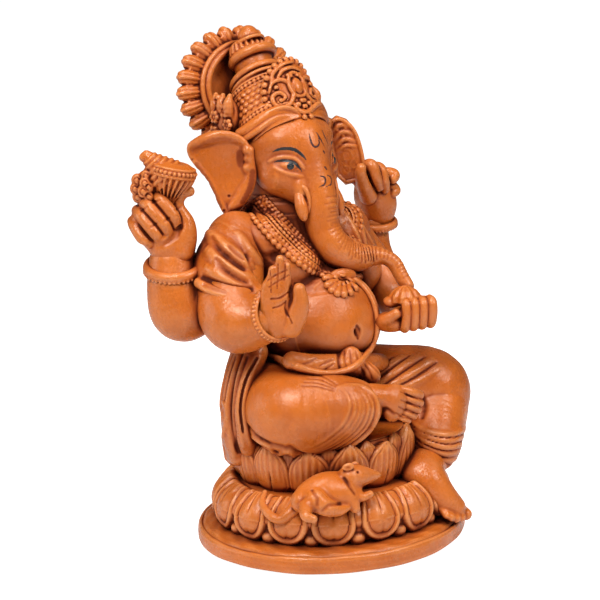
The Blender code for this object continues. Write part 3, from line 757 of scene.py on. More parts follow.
def torso():
    """Round belly, soft chest and shoulders, navel."""
    clay = Clay((-38, -24, 38), (38, 42, 132), COARSE)
    clay.add(ball((0, 15, 56), (25, 19, 16.5)))
    clay.add(ball((0.5, 5.0, 79.6), (20.6, 20.3, 18.4)), 5)
    clay.add(ball((0.5, 3.8, 75.6), (19.4, 19.0, 13.6)), 5)
    clay.add(ball((0, 19, 86), (23, 16, 24)), 6)
    clay.add(ball((0, 17, 102), (23, 14, 13)), 5)
    for side in (-1, 1):
        clay.add(ball((side * 11.0, 6.4, 100.0), (10.4, 8.2, 7.6), spin(x=-14)), 2.0)
        clay.add(ball((side * 18.0, 12.5, 108.0), (8.6, 7.6, 8.4)), 4)
        clay.add(ball((side * 24, 18.5, 106.5), (10.0, 10.0, 9.6)), 6)
    clay.add(tube([(0, 21, 108, 14.5), (0, 23, 125, 13.5)], 1), 5)
    groove(clay, [(-17, 0.5, 92.6), (-12, -5.0, 92.6), (-6, -9.0, 93.2), (0, -10.4, 92.6), (8, -8.2, 93.2),
                  (15, -2.2, 93.0)],
           1.0, blend=1.8)
    groove(clay, [(-20, 0, 63.5), (-9, -10.5, 62.6), (1, -13.4, 62.8), (10, -10.6, 62.8), (20, -1, 63.5)],
           1.2, blend=2.0)
    base = copied(clay)
    stroke(clay, base, [(-22.8, 29.7), (-21.0, 25.3), (-18.5, 20.3), (-15.9, 15.9), (-13.4, 10.9)], 1.4,
           blend=3.0, dig=True)
    stroke(clay, base, [(-13.8, 11.6), (-11.9, 14.8), (-9.0, 15.9)], 1.0, blend=2.5, dig=True)
    navel = laid(base, [(20.6, -11.9)])[0]
    clay.cut(ball(navel, (0.8, 2.0, 1.6), spin(y=-20)), 1.0)
    engrave("torso_sculpt", clay, base, [(20.6, -9.4), (21.7, -11.2), (21.0, -13.8)], 0.7)
    fire("torso_sculpt", clay, ["torso"])


def shawl():
    """Cloth sleeve on the right upper arm with deep slanting creases and a rolled hem, shoulders and back."""
    clay = Clay((-52, -12, 62), (44, 46, 128), COARSE)
    clay.add(tube([(-25, 20, 109, 10.8), (-33.2, 15.8, 101, 12.0), (-35.6, 11.4, 93, 11.9),
                   (-35.8, 9.0, 87, 12.5)], 4))
    clay.add(ball((0, 26, 92), (25, 14, 30)), 6)
    clay.add(tube([(13, 15, 112, 6.6), (20, 14.0, 107, 8.0), (25, 13, 100, 8.6), (27, 13, 92, 8.6)], 3), 4)
    clay.add(tube([(12, 12.5, 113, 6.2), (16, 9.0, 107, 6.8), (20, 7.6, 100, 6.8), (24, 8, 92, 6.8)], 4), 4)
    base = copied(clay)
    hem = laid(base, [(-36.6, 6.2), (-33.3, 4.3), (-28.2, 2.4), (-21.7, 1.4), (-15.9, 2.5), (-12.3, 4.0)], 0,
               5)
    clay.cut(ball((-40, 6, 74.0), (20, 20, 12.4), spin(x=8)), 1.0)
    clay.add(tube(np.column_stack([hem, np.full(len(hem), 1.9)]), 1), 0.8)
    ridges = [
        ([(-33.3, 24.6), (-29.0, 20.6), (-23.2, 15.9), (-17.0, 10.9)], 2.6),
        ([(-33.3, 18.1), (-28.2, 13.4), (-22.4, 9.4), (-15.9, 6.9)], 2.6),
        ([(-33.3, 11.6), (-27.5, 8.0), (-21.0, 5.4), (-14.5, 4.7)], 2.3),
        ([(-22.4, 23.9), (-18.1, 18.1), (-14.5, 13.0), (-11.6, 7.2)], 1.8),
    ]
    for spots, width in ridges:
        stroke(clay, base, spots, width, rise=-0.8, blend=1.8)
    lifted = copied(clay)
    for spots, width in (
        ([(-32.2, 22.8), (-29.3, 18.5), (-25.3, 14.8), (-20.6, 11.2)], 0.9),
        ([(-30.4, 14.8), (-26.8, 10.9), (-22.8, 8.0), (-19.2, 6.2)], 0.8),
        ([(-19.2, 15.9), (-17.0, 11.9), (-14.1, 6.9)], 0.7),
        ([(-25.3, 19.5), (-23.2, 17.4), (-20.6, 15.2)], 0.4),
        ([(-34.8, 5.8), (-30.4, 4.0), (-24.6, 2.7), (-17.4, 3.4)], 0.4),
        ([(-35.1, 8.3), (-30.4, 6.2), (-23.9, 4.3), (-17.4, 4.0)], 0.5),
    ):
        stroke(clay, lifted, spots, width, blend=1.6, dig=True)
    for spots, width in (
        ([(16.3, 34.8), (20.3, 30.4), (23.5, 25.0), (26.8, 19.5)], 1.0),
        ([(18.1, 32.6), (21.4, 28.2), (23.2, 23.2), (23.9, 18.1)], 0.8),
        ([(15.9, 31.9), (18.8, 27.5), (21.0, 22.4), (22.1, 18.8)], 0.9),
    ):
        stroke(clay, base, spots, width, rise=-0.2, blend=1.0)
    clay.cut(ball((-4, 14, 101), (14, 20, 40)), 1.5)
    clay.relief(lambda x, y, z: 0.5 * np.cos(0.75 * x + 0.5 * z + 1.5 * np.sin(0.09 * z)) * ramp(y, 29, 35))
    fire("shawl_sculpt", clay, ["shawl"])


def hanging_drape():
    """Shawl ends that fall beside the right hip to the lotus, in flattened strips with creased edges."""
    clay = Clay((-46, -2, 26), (-8, 38, 90), MEDIUM)
    strips = [
        [(-26.7, 8.0, 70.6), (-32.8, 6.0, 62.5), (-35.8, 5.0, 52.3), (-35.3, 5.0, 43.4), (-33.3, 6.0, 37.5)],
        [(-26.1, 14.0, 70.2), (-31.8, 13.0, 61.1), (-34.9, 12.0, 50.8), (-34.9, 12.0, 40.3),
         (-33.4, 12.0, 32.5)],
         [(-24.2, 17.5, 69.7), (-29.6, 17.0, 60.0), (-32.7, 16.0, 49.5), (-32.2, 16.0, 39.0),
          (-31.6, 15.5, 31.4)],
          [(-22.8, 21.0, 69.2), (-27.0, 21.0, 58.7), (-29.6, 20.0, 48.2), (-29.1, 20.0, 37.5),
           (-29.8, 19.0, 30.2)], ]
    for strip in strips:
        clay.add(tube([(*p, r) for p, r in zip(strip, (4.0, 4.2, 4.2, 4.2, 3.6))], 6), 1.6)
    base = copied(clay)
    for line, width in (
        ([(-14.5, -20.3), (-18.5, -28.2), (-20.3, -38.0), (-19.5, -47.1), (-18.1, -52.1)], 1.3),
        ([(-16.7, -21.0), (-20.6, -29.7), (-22.1, -38.4), (-21.4, -47.1), (-20.3, -52.9)], 0.9),
        ([(-22.1, -21.0), (-24.6, -29.0), (-26.1, -38.0), (-25.3, -47.8), (-23.9, -56.5)], 1.3),
        ([(-24.6, -20.3), (-27.1, -28.2), (-28.6, -36.9), (-27.9, -43.4)], 1.0),
        ([(-28.2, -36.9), (-26.1, -39.8), (-26.8, -44.9), (-28.2, -50.7), (-27.5, -57.2)], 1.0),
    ):
        stroke(clay, base, line, width, rise=-0.45, blend=1.2)
    for line, width in (
        ([(-19.2, -20.6), (-22.8, -29.7), (-24.3, -39.1), (-23.5, -49.2), (-22.1, -55.0)], 0.9),
        ([(-15.6, -21.0), (-19.5, -29.0), (-21.4, -38.4), (-20.6, -47.8)], 0.4),
        ([(-23.5, -20.6), (-26.1, -29.0), (-27.1, -36.2)], 0.45),
    ):
        stroke(clay, base, line, width, blend=0.9, dig=True)
    fire("hanging_drape_sculpt", clay, ["hanging_drape"])


def right_leg():
    """Folded leg: a big smooth knee, creases in the crook and parallel hem pleats at the ankle."""
    clay = Clay((-48, -36, 30), (8, 34, 74), MEDIUM)
    clay.add(tube([(-14, 14, 53, 12.5), (-23.5, -1, 52, 14.4), (-24.4, -9, 51.8, 14.4),
                   (-15.5, -17.5, 52.2, 12.8), (-9.0, -21.5, 52.4, 10.4), (-7.4, -22.4, 52.4, 9.4)], 5))
    clay.add(ball((-20, -8, 45.0), (16, 14, 9.5), spin(z=-25)), 5)
    clay.add(ball((-9, -17, 44.6), (9, 9, 8.0)), 5)
    base = copied(clay)
    outer = np.array([(16.7, -30.8), (22.4, -31.5), (26.8, -35.1), (27.9, -40.5), (25.7, -46.3),
                      (20.6, -51.0), (13.8, -54.7), (4.3, -56.8)])
    inner = np.array([(12.3, -31.5), (15.6, -32.9), (17.4, -36.6), (17.0, -40.5), (14.5, -45.2),
                      (10.1, -49.2), (4.3, -52.9), (-3.6, -55.0)])
    for share, width, rise in ((0.0, 1.5, -0.35), (0.17, 1.0, -0.4), (0.32, 1.1, -0.45), (0.47, 0.9, -0.4),
                               (0.6, 0.9, -0.45), (0.75, 0.8, -0.45), (0.95, 0.8, -0.5)):
        stroke(clay, base, outer + share * (inner - outer), width, rise=rise, blend=0.6)
    crease = np.array([(3.6, -27.1), (7.6, -27.5), (10.9, -29.0), (13.4, -30.8)])
    spread = np.array([(1, 1), (0.8, 0.9), (0.6, 0.75), (0.4, 0.5)])
    for k in range(4):
        stroke(clay, base, crease + np.array((-0.9 * k, -1.35 * k)) * spread, 0.16, blend=0.7, dig=True)
    for spots, width in (
        ([(-19.5, -44.9), (-15.9, -49.2), (-10.9, -52.1), (-5.1, -53.6)], 0.6),
        ([(-13.8, -51.4), (-10.1, -54.3), (-5.8, -56.1)], 0.5),
        ([(-3.6, -53.2), (0.0, -55.4), (5.8, -56.1)], 0.5),
    ):
        stroke(clay, base, spots, width, blend=1.8, dig=True)
    for spots in ([(-18.8, -48.1), (-15.2, -51.0), (-11.6, -52.9), (-8.7, -56.5)],
                  [(-8.7, -56.5), (-4.3, -55.0), (-1.4, -57.2)]):
        stroke(clay, base, spots, 1.0, rise=-0.3, blend=1.2)
    fire("right_leg_sculpt", clay, ["right_leg"])


def right_foot():
    """Bare foot of the folded leg, its five toes stacked and pointing aside."""
    clay = Clay((-12, -42, 38), (28, -14, 68), FINE)
    clay.add(tube([(-7.5, -23.0, 55.8, 5.2), (-3.1, -25.5, 55.8, 4.8), (1.2, -27.0, 55.2, 4.6),
                   (4.2, -28.5, 53.8, 4.8)], 5))
    clay.add(ball((4.7, -29.5, 52.8), (4.8, 3.4, 6.8), spin(y=14)), 2.5)
    starts = [(7.2, -30.5, 57.6), (7.2, -31.0, 55.0), (6.6, -31.0, 52.5), (5.8, -30.8, 50.3),
              (4.7, -30.4, 48.4)]
    ends = [(14.6, -32.0, 54.3), (14.4, -32.6, 51.5), (13.4, -32.6, 49.1), (11.8, -32.2, 47.1),
            (9.4, -31.6, 45.8)]
    for start, end, r in zip(starts, ends, (1.75, 1.45, 1.4, 1.3, 1.2)):
        middle = [(a + b) / 2 for a, b in zip(start, end)]
        middle[1] -= 1.0
        clay.add(tube([(*start, r * 0.9), (*middle, r), (*end, r * 1.0)], 4), 0.2)
    base = copied(clay)
    for spots in ([(36.6, -33.3), (39.8, -34.8), (42.7, -35.8)],
                  [(36.6, -36.2), (39.8, -37.6), (42.4, -38.7)],
                  [(35.8, -38.7), (38.7, -40.2), (41.3, -40.9)],
                  [(34.8, -40.9), (36.9, -42.4), (39.1, -42.7)]):
        engrave("right_foot_sculpt", clay, base, spots, 0.3, strength=0.8)
    stroke(clay, base, [(27.9, -40.5), (31.1, -39.5), (34.0, -41.3)], 0.5, blend=1.0, dig=True)
    fire("right_foot_sculpt", clay, ["right_foot"])


def left_leg():
    """Hanging leg: high knee, slanting thigh folds, gathered pleats below the knee, a fold by the foot."""
    clay = Clay((2, -44, 18), (64, 34, 76), MEDIUM)
    clay.add(tube([(16, 15, 51.4, 13.8), (29, 0, 50.8, 13.8), (41.0, -9.5, 48.6, 14.4), (40.8, -13, 43, 12.9),
                   (34.8, -19.5, 36, 11.0), (30.2, -24.0, 31.5, 9.7)], 5))
    clay.add(ball((26, -6, 49), (12, 12, 12)), 5)
    base = copied(clay)
    thigh = [
        [(20.3, -29.0), (24.6, -25.7), (30.4, -21.0)], [(23.9, -30.0), (29.7, -25.7), (36.9, -20.3)],
        [(27.5, -30.8), (34.8, -25.3), (42.7, -19.9)], [(31.9, -31.5), (39.8, -26.8), (47.8, -21.4)],
        [(36.9, -32.2), (44.2, -28.6), (51.0, -23.9)],
    ]
    for k, line in enumerate(thigh):
        stroke(clay, base, line, (1.2, 1.5, 1.3, 1.6, 1.1)[k], rise=-0.9, blend=1.4)
    for k in range(4):
        middle = [((a[0] + b[0]) / 2, (a[1] + b[1]) / 2) for a, b in zip(thigh[k], thigh[k + 1])]
        stroke(clay, base, middle, 0.22, blend=0.7, dig=True)
    outer = np.array([(39.1, -43.1), (43.8, -46.7), (50.0, -48.5), (55.7, -48.5), (60.5, -46.7)])
    lower = np.array([(38.4, -50.7), (42.0, -55.0), (46.3, -58.6), (51.0, -60.8), (55.7, -60.8)])
    for share, width in ((0.0, 1.3), (0.2, 0.9), (0.4, 1.2), (0.6, 0.9), (0.8, 1.2), (1.0, 1.5)):
        stroke(clay, base, outer + share * (lower - outer), width, rise=-0.6, blend=1.0)
    for share in (0.1, 0.3, 0.5, 0.7, 0.9):
        stroke(clay, base, outer + share * (lower - outer), 0.14, blend=0.6, dig=True)
    stroke(clay, base, [(43.8, -34.4), (44.9, -38.4), (44.2, -42.4)], 0.4, blend=2.0, dig=True)
    clay.add(tube([(-4.8, -27.0, 44.3, 2.8), (1.1, -30.0, 44.8, 2.4), (9.0, -32.0, 45.8, 0.8)], 5), 1.0)
    clay.add(tube([(10.8, -28.0, 43.5, 1.2), (10.3, -30.0, 38.8, 1.8), (8.2, -30.0, 34.1, 1.2)], 5), 1.0)
    fire("left_leg_sculpt", clay, ["left_leg"])


def left_foot():
    """Bare foot that steps down over the petals to the plinth's edge."""
    clay = Clay((6, -52, 2), (50, -8, 44), FINE)
    clay.add(tube([(26.5, -24.5, 25.9, 7.0), (20.5, -28.0, 24.5, 7.2), (18.6, -32.5, 21.4, 6.8),
                   (20.6, -36.5, 16.6, 5.5), (24.7, -39.0, 11.7, 4.2)], 6))
    clay.add(ball((15.5, -29.0, 23.2), (5.0, 5.0, 5.6)), 3)
    ends = [(28.8, -41.0, 8.5), (25.2, -42.0, 8.5), (22.3, -42.4, 8.9), (19.9, -42.2, 9.8),
            (18.2, -41.4, 10.8)]
    roots = [(26.7, -38.0, 11.0), (23.7, -39.0, 10.8), (21.4, -39.2, 11.4), (19.6, -39.0, 12.2),
             (18.2, -38.4, 13.1)]
    for start, end, r in zip(roots, ends, (2.6, 2.0, 1.9, 1.8, 1.6)):
        clay.add(tube([(*start, r), (*end, r * 0.85)], 1), 1.1)
    fire("left_foot_sculpt", clay, ["left_foot"])


def waist_cloth():
    """Gathered end of the waist cloth between belly and thighs: a tucked flap and a small fan of pleats."""
    clay = Clay((-30, -36, 44), (34, 8, 78), FINE)
    clay.add(tube([(-24.7, -9.0, 69.9, 3.4), (-18.6, -12.5, 67.9, 4.0), (-9.6, -14.5, 66.3, 4.4),
                   (-2.0, -15.0, 65.7, 4.6), (9.4, -12.0, 63.5, 3.8), (18.0, -8.0, 61.6, 3.2)], 4))
    clay.add(ball((-3.5, -16.0, 67.3), (4.4, 3.2, 5.4), VIEW), 1.2)
    clay.add(ball((2.9, -17.5, 62.3), (5.4, 3.0, 3.6), VIEW @ spin(y=35)), 1.2)
    base = copied(clay)
    for line, width in (
        ([(13.9, -18.5), (14.1, -21.7), (14.5, -25.3)], 0.6),
        ([(15.9, -18.5), (16.3, -21.7), (17.0, -25.3)], 0.18),
        ([(18.1, -18.1), (18.5, -21.7), (19.2, -25.3)], 0.18),
        ([(20.3, -18.5), (21.0, -21.4), (21.7, -24.6)], 0.22),
        ([(22.1, -23.9), (22.8, -26.4), (23.2, -29.3)], 0.3),
        ([(23.5, -23.2), (25.0, -25.7), (26.1, -28.6)], 0.25),
        ([(25.0, -22.8), (27.1, -24.6), (29.0, -27.1)], 0.25),
        ([(11.9, -21.4), (9.8, -22.4), (7.2, -23.9)], 0.3),
        ([(12.3, -23.2), (10.5, -24.3), (8.7, -25.7)], 0.25),
        ([(5.8, -21.0), (3.6, -22.4), (1.1, -23.2)], 0.25), ):
        stroke(clay, base, line, width, blend=0.7, dig=True)
    fire("waist_cloth_sculpt", clay, ["waist_apron"])


# --- Arms and hands ---


def limb(name, node, stations):
    """A bare arm."""
    stations = np.array(stations, float)
    clay = Clay(stations[:, :3].min(0) - 16, stations[:, :3].max(0) + 16, COARSE)
    clay.add(tube(stations, 6))
    fire(name, clay, [node])


REAR_HAND = np.array((-49.7, 27.3, 114.9))
LEFT_REAR_HAND = np.array((50.2, 27.0, 117.0))
BLESSING_HAND = np.array((-34.7, -15.5, 94.3))


def right_rear_hand():
    """Right rear hand: four fingers curled over the conch's foot, the thumb up beside it."""
    clay = Clay(REAR_HAND + (-22, -18, -20), REAR_HAND + (20, 18, 22), FINE)
    at = lambda *points: placed(REAR_HAND, VIEW, points)
    clay.add(tube(at((1.8, 0.6, -13, 6.6), (0.8, 0.4, -7.5, 6.8), (-0.6, 0.2, -3.0, 7.4),
                     (-2.5, 0.6, 1.0, 7.0)), 4))
    clay.add(ball(at((-6.5, 1.0, 3.0))[0], (7.0, 5.0, 7.0), VIEW), 4)
    clay.add(tube(at((4.6, -1.6, -6.0, 5.0), (6.2, -2.0, -1.0, 4.2), (6.6, -1.8, 3.6, 3.0),
                     (4.4, -1.4, 8.4, 2.2), (4.4, -1.2, 11.2, 1.9), (6.2, -1.4, 13.6, 1.8),
                     (8.2, -1.6, 14.4, 1.9)), 5), 1.0)
    fingers = [
        ((-4.2, 1.0, 13.2), (-1.6, -4.0, 12.0), (2.4, -5.8, 7.0), (3.4, -4.4, 3.4)),
        ((-8.4, 1.0, 11.2), (-5.8, -4.4, 9.8), (-1.0, -6.6, 4.2), (0.6, -5.2, 0.6)),
        ((-10.4, 1.2, 7.6), (-8.6, -4.0, 6.4), (-4.4, -6.6, 1.4), (-2.6, -5.4, -1.4)),
        ((-12.2, 1.6, 3.8), (-11.2, -2.8, 2.6), (-8.6, -5.6, -1.2), (-6.4, -5.0, -3.0)),
    ]
    for k, finger in enumerate(fingers):
        r = (2.2, 2.25, 2.2, 2.1)[k]
        clay.add(tube(at(*[(*p, r * s) for p, s in zip(finger, (1.0, 1.02, 0.98, 0.86))]), 6), 0.2)
    clay.add(ball(at((-4.8, -1.6, 4.6))[0], (9.0, 4.0, 7.0), VIEW @ spin(y=-40)), 0.3)
    crease = at((-12.8, -3.0, -2.4), (-7.5, -7.0, -4.6), (-2.4, -7.6, -3.8), (2.2, -6.6, -1.2),
                (4.6, -5.2, 2.4))[:, :3]
    groove(clay, crease, 0.9, blend=0.9)
    base = copied(clay)
    for spots in ([(-57.9, 31.9), (-55.4, 33.7)], [(-53.6, 35.1), (-50.7, 36.2)],
                  [(-44.9, 32.6), (-42.7, 34.0)], [(-49.2, 28.2), (-47.1, 30.0)],
                  [(-54.3, 26.1), (-51.8, 27.9)]):
        stroke(clay, base, [spots[0], [(a + b) / 2 for a, b in zip(*spots)], spots[1]], 0.3, blend=0.4,
               dig=True)
    fire("right_rear_hand_sculpt", clay, ["right_rear_hand"])


def left_rear_hand():
    """Left rear hand: broad palm, thumb up behind the axe, fingers curled over to the outside."""
    clay = Clay(LEFT_REAR_HAND + (-24, -22, -20), LEFT_REAR_HAND + (18, 18, 18), FINE)
    clay.add(tube([(51.0, 27.0, 106.8, 5.4), (50.0, 27.0, 111.6, 7.0), (48.5, 27.0, 116.1, 7.8),
                   (48.1, 27.0, 120.8, 7.0)], 4))
    clay.add(ball((51.9, 25.0, 113.2), (4.4, 4.6, 5.6), VIEW), 2.5)
    clay.add(tube([(40.9, 22.0, 117.5, 3.4), (36.6, 20.0, 122.8, 2.7), (34.5, 19.0, 126.9, 2.3),
                   (34.5, 18.6, 129.2, 1.9)], 5), 1.0)
    fingers = [
        [(44.2, 26.0, 124.5, 2.3), (40.6, 22.0, 129.0, 2.3), (40.4, 19.0, 129.3, 2.4),
         (41.5, 18.0, 124.7, 2.2), (43.9, 19.0, 120.9, 1.8)],
         [(48.3, 26.0, 124.0, 2.2), (45.2, 22.0, 127.8, 2.3), (45.0, 19.0, 127.3, 2.3),
          (45.6, 18.0, 123.1, 2.1), (47.0, 19.0, 119.8, 1.8)],
          [(51.4, 26.0, 121.3, 2.2), (49.9, 22.0, 125.0, 2.4), (52.2, 20.0, 124.5, 2.6),
           (51.2, 19.0, 123.2, 2.0)],
           [(52.0, 25.0, 118.2, 2.2), (51.9, 22.0, 120.5, 2.3), (53.5, 20.4, 118.5, 2.2),
            (52.1, 20.0, 117.5, 1.8)], ]
    for finger in fingers:
        clay.add(tube(finger, 6), 0.25)
    fire("left_rear_hand_sculpt", clay, ["left_rear_hand"])


def blessing_hand():
    """Right front hand, palm out: joined fingers scored with a grid, palm lines, broad thumb."""
    clay = Clay(BLESSING_HAND + (-16, -14, -18), BLESSING_HAND + (16, 14, 20), FINE)
    at = lambda *points: placed(BLESSING_HAND, VIEW, points)
    clay.add(ball(at((-1.2, 0.8, -4.6))[0], (5.6, 3.6, 9.2), VIEW))
    clay.add(ball(at((-1.0, 0.2, 3.2))[0], (5.2, 2.7, 6.0), VIEW), 2)
    fingers = [((-4.8, 0.2, -2.5), (-4.4, -0.6, 5.2), 1.8), ((-3.2, 0, 1.0), (-2.2, -0.9, 10.8), 1.95),
               ((-0.9, 0, 1.0), (0.4, -0.9, 14.4), 1.95), ((1.7, 0, 1.0), (2.6, -0.8, 12.0), 1.75)]
    for base, tip, r in fingers:
        middle = tuple((a + b) / 2 for a, b in zip(base, tip))
        clay.add(tube(at((*base, r * 1.1), (*middle, r), (*tip, r * 0.72)), 4), 1.1)
    clay.add(tube(at((3.6, 1.0, -9.6, 4.0), (5.8, -0.4, -4.8, 3.7), (7.0, -1.3, -0.4, 2.9),
                     (6.6, -1.2, 3.8, 2.2)), 5), 0.8)
    clay.cut(ball(at((3.6, -3.0, 3.0))[0], (0.7, 2.4, 2.6), VIEW @ spin(y=8)), 0.6)
    skin = copied(clay)
    lines = [
        ([(-10.9, 10.5), (-10.5, 6.9), (-10.5, 2.9)], 0.3), ([(-8.0, 13.0), (-8.0, 8.7), (-8.3, 4.3)], 0.3),
        ([(-5.4, 13.0), (-5.4, 10.1), (-5.8, 7.2)], 0.3), ([(-11.6, 7.2), (-8.7, 9.0), (-4.7, 10.9)], 0.3),
        ([(-11.2, 4.7), (-8.3, 6.5), (-4.0, 9.0)], 0.3), ([(-10.5, 0.4), (-7.2, 0.7), (-4.0, 2.9)], 0.4),
        ([(-9.8, -2.9), (-7.2, -2.2), (-5.1, -0.7)], 0.35), ([(-5.1, -0.4), (-5.1, -4.0), (-2.9, -8.3)], 0.4),
    ]
    for line, width in lines:
        engrave("right_front_hand_sculpt", clay, skin, line, width)
    fire("right_front_hand_sculpt", clay, ["right_front_hand"])


def giving_hand():
    """Left front hand: palm up, its four fingers turned up side by side in front of the sweet."""
    palm = np.array((19.6, -20.0, 82.7))
    clay = Clay(palm + (-18, -16, -14), palm + (26, 20, 14), FINE)
    at = lambda *points: placed(palm, VIEW, points)
    clay.add(tube([(36, -7, 78.0, 5.4), (30.5, -12.5, 79.0, 5.4), *map(tuple, at((4.0, 3.0, -2.4, 4.6)))], 4))
    clay.add(ball(at((-5.0, 1.0, -4.4))[0], (6.6, 4.4, 3.8), VIEW), 2.0)
    clay.add(ball(at((4.6, 1.0, -1.4))[0], (6.8, 4.2, 5.0), VIEW), 1.5)
    for k in range(4):
        x = 0.4 + 3.1 * k
        low, high = -6.2 + 0.5 * k, 2.6 + 0.25 * k
        clay.add(tube(at((x - 1.4, 1.5, low, 1.5), (x - 0.6, -2.8, low + 0.2, 1.75),
                         (x, -3.6, (low + high) / 2, 1.8),
                         (x - 0.1, -3.0, high, 1.75), (x - 0.9, -0.6, high + 0.9, 1.5)), 5), 0.35)
    clay.add(tube(at((-11.0, 1.5, -4.8, 2.6), (-7.2, -2.2, -3.0, 2.2), (-3.4, -3.2, -0.6, 1.9)), 4), 1.0)
    fire("left_front_hand_sculpt", clay, ["left_front_hand"])


def beaded_bangle(name, node, centre, radius, thick, turn, bead, drop, ridge=0.0):
    """A rolled ring with a row of beads on its lower edge."""
    reach = radius + thick + 3
    clay = Clay(np.array(centre) - reach, np.array(centre) + reach, FINE)
    clay.add(hoop(centre, radius, thick, turn))
    if ridge:
        clay.add(hoop(np.array(centre) + turn @ np.array((0, 0, ridge)), radius, thick * 0.6, turn), 0.4)
    count = int(round(2 * math.pi * radius / (1.9 * bead)))
    for k in range(count):
        a = 2 * math.pi * k / count
        spot = np.array((math.cos(a), math.sin(a), 0)) * (radius + 0.72 * thick)
        clay.add(ball(centre + turn @ (spot - (0, 0, drop * 0.75)), bead), 0.1)
    fire(name, clay, [node])


# --- Head ---


TRUNK = [(0, 13.5, 143.5, 9.2), (0, 9.6, 136.5, 8.1), (0, 6.2, 130.5, 7.0), (0.0, 3.0, 122.0, 6.5),
         (0.0, 2.3, 117.4, 6.4), (0.3, 1.5, 112.4, 6.3), (1.5, -0.6, 107.4, 6.4), (5.7, -2.2, 103.3, 6.3),
         (11.3, -4.0, 101.3, 5.3), (16.2, -5.6, 101.2, 3.9), (20.4, -8.0, 100.7, 3.0),
         (23.5, -10.5, 98.2, 2.8), (24.5, -13.0, 93.9, 2.7), (25.1, -15.5, 90.1, 2.6)]


def head():
    """Elephant head and trunk in one skin: domed brow, cheeks, mouth, ringed trunk, tusk sockets."""
    clay = Clay((-26, -24, 80), (34, 44, 162), MEDIUM)
    clay.add(ball((0, 23, 140.5), (17.6, 16.0, 14.2)))
    clay.add(ball((0, 16.0, 141.6), (12.0, 12.0, 9.0)), 4)
    clay.add(tube(TRUNK, 6), 4)
    for side in (-1, 1):
        clay.add(ball((side * 8.0, 15.0, 144.4), (6.4, 7.2, 5.6)), 3.5)
        clay.add(ball((side * 8.2, 14.5, 131.6), (7.7, 9.0, 7.8)), 4)
        clay.add(ball((side * 5.2, 9.5, 127.0), (5.2, 6.0, 5.0)), 3)
        clay.add(tube([(side * 5.2, 6.6, 131.6, 2.0), (side * 7.0, 5.1, 128.6, 2.2),
                       (side * 7.6, 4.4, 126.4, 2.0)], 4), 1.6)
        clay.cut(ball((side * 14.4, 6.0, 137.4), (4.4, 1.7, 2.7), spin(z=side * 50)), 2.6)
    clay.add(tube([(-4, 8, 124.5, 2.8), (0, 7, 123, 3.0), (4, 8, 124.5, 2.8)], 4), 3)
    skin = copied(clay)
    stroke(clay, skin, [(-11.2, 50.1), (-8.3, 51.4), (-4.7, 51.7), (-1.4, 50.9), (1.4, 47.8)], 0.55, 0.1, 0.8,
           both=True)
    stroke(clay, skin, [(-9.4, 48.1), (-6.5, 46.5), (-2.9, 45.4), (0.7, 44.9)], 0.4, 0.0, 0.9, both=True)
    iris = laid(skin, [(-4.0, 48.5)])[0]
    for sign in (1, -1):
        clay.add(ball(iris * (sign, 1, 1) + (0, 0.7, 0), (3.0, 1.3, 1.5), spin(z=-sign * 48)), 0.6)
    path = spline(TRUNK, 10)
    for k, spot in enumerate(along(path[30:126], 1.45)):
        nearest = np.argmin(np.linalg.norm(path[:, :3] - spot[:3], axis=1))
        ahead = path[min(nearest + 2, len(path) - 1), :3] - path[max(nearest - 2, 0), :3]
        ahead /= np.linalg.norm(ahead)
        front = np.array((0.25, -0.9, 0.35))
        front -= front @ ahead * ahead
        front /= np.linalg.norm(front)
        side = np.cross(ahead, front)
        reach = 30 + 10 * math.sin(k * 1.7) + 14 * ramp(k, 12, 26)
        line = []
        for a in np.radians(np.linspace(-reach, reach, 7)):
            around = front * math.cos(a) + side * math.sin(a)
            line.append(spot[:3] + around * (spot[3] + 0.12) - ahead * 0.8 * math.cos(a))
        groove(clay, line, 0.24, steps=2, blend=0.4)
        seam = along(np.column_stack([line, np.zeros(7)]), 0.3)[:, :3]
        STAINS.setdefault("head_sculpt", []).append((seam, 0.55, 0.4))
    fire("head_sculpt", clay, ["head", "trunk"])


def tusk(side, node):
    """Short blunt tusk in a rolled socket."""
    low, high = (-18, -2) if side < 0 else (2, 18)
    clay = Clay((low, -12, 106), (high, 14, 134), 0.3)
    line = [(-7.8, 4.9, 126.7, 1.6), (-8.3, 3.9, 124.0, 2.1), (-8.6, 2.8, 121.3, 2.3),
            (-8.6, 2.1, 118.9, 1.9), (-8.5, 1.7, 117.4, 1.2)]
    lip = [(-8.2, 5.5, 128.5, 0.8), (-7.4, 3.1, 128.3, 1.0), (-6.8, 1.5, 126.2, 0.9), (-6.4, 1.0, 122.7, 0.8),
           (-6.6, 1.4, 119.4, 0.6)]
    for stations in (line, lip):
        stations = np.array(stations)
        stations[:, 0] *= -side
        clay.add(tube(stations, 5), 0.3)
    fire("tusk_%s_sculpt" % node.split("_")[0], clay, [node])


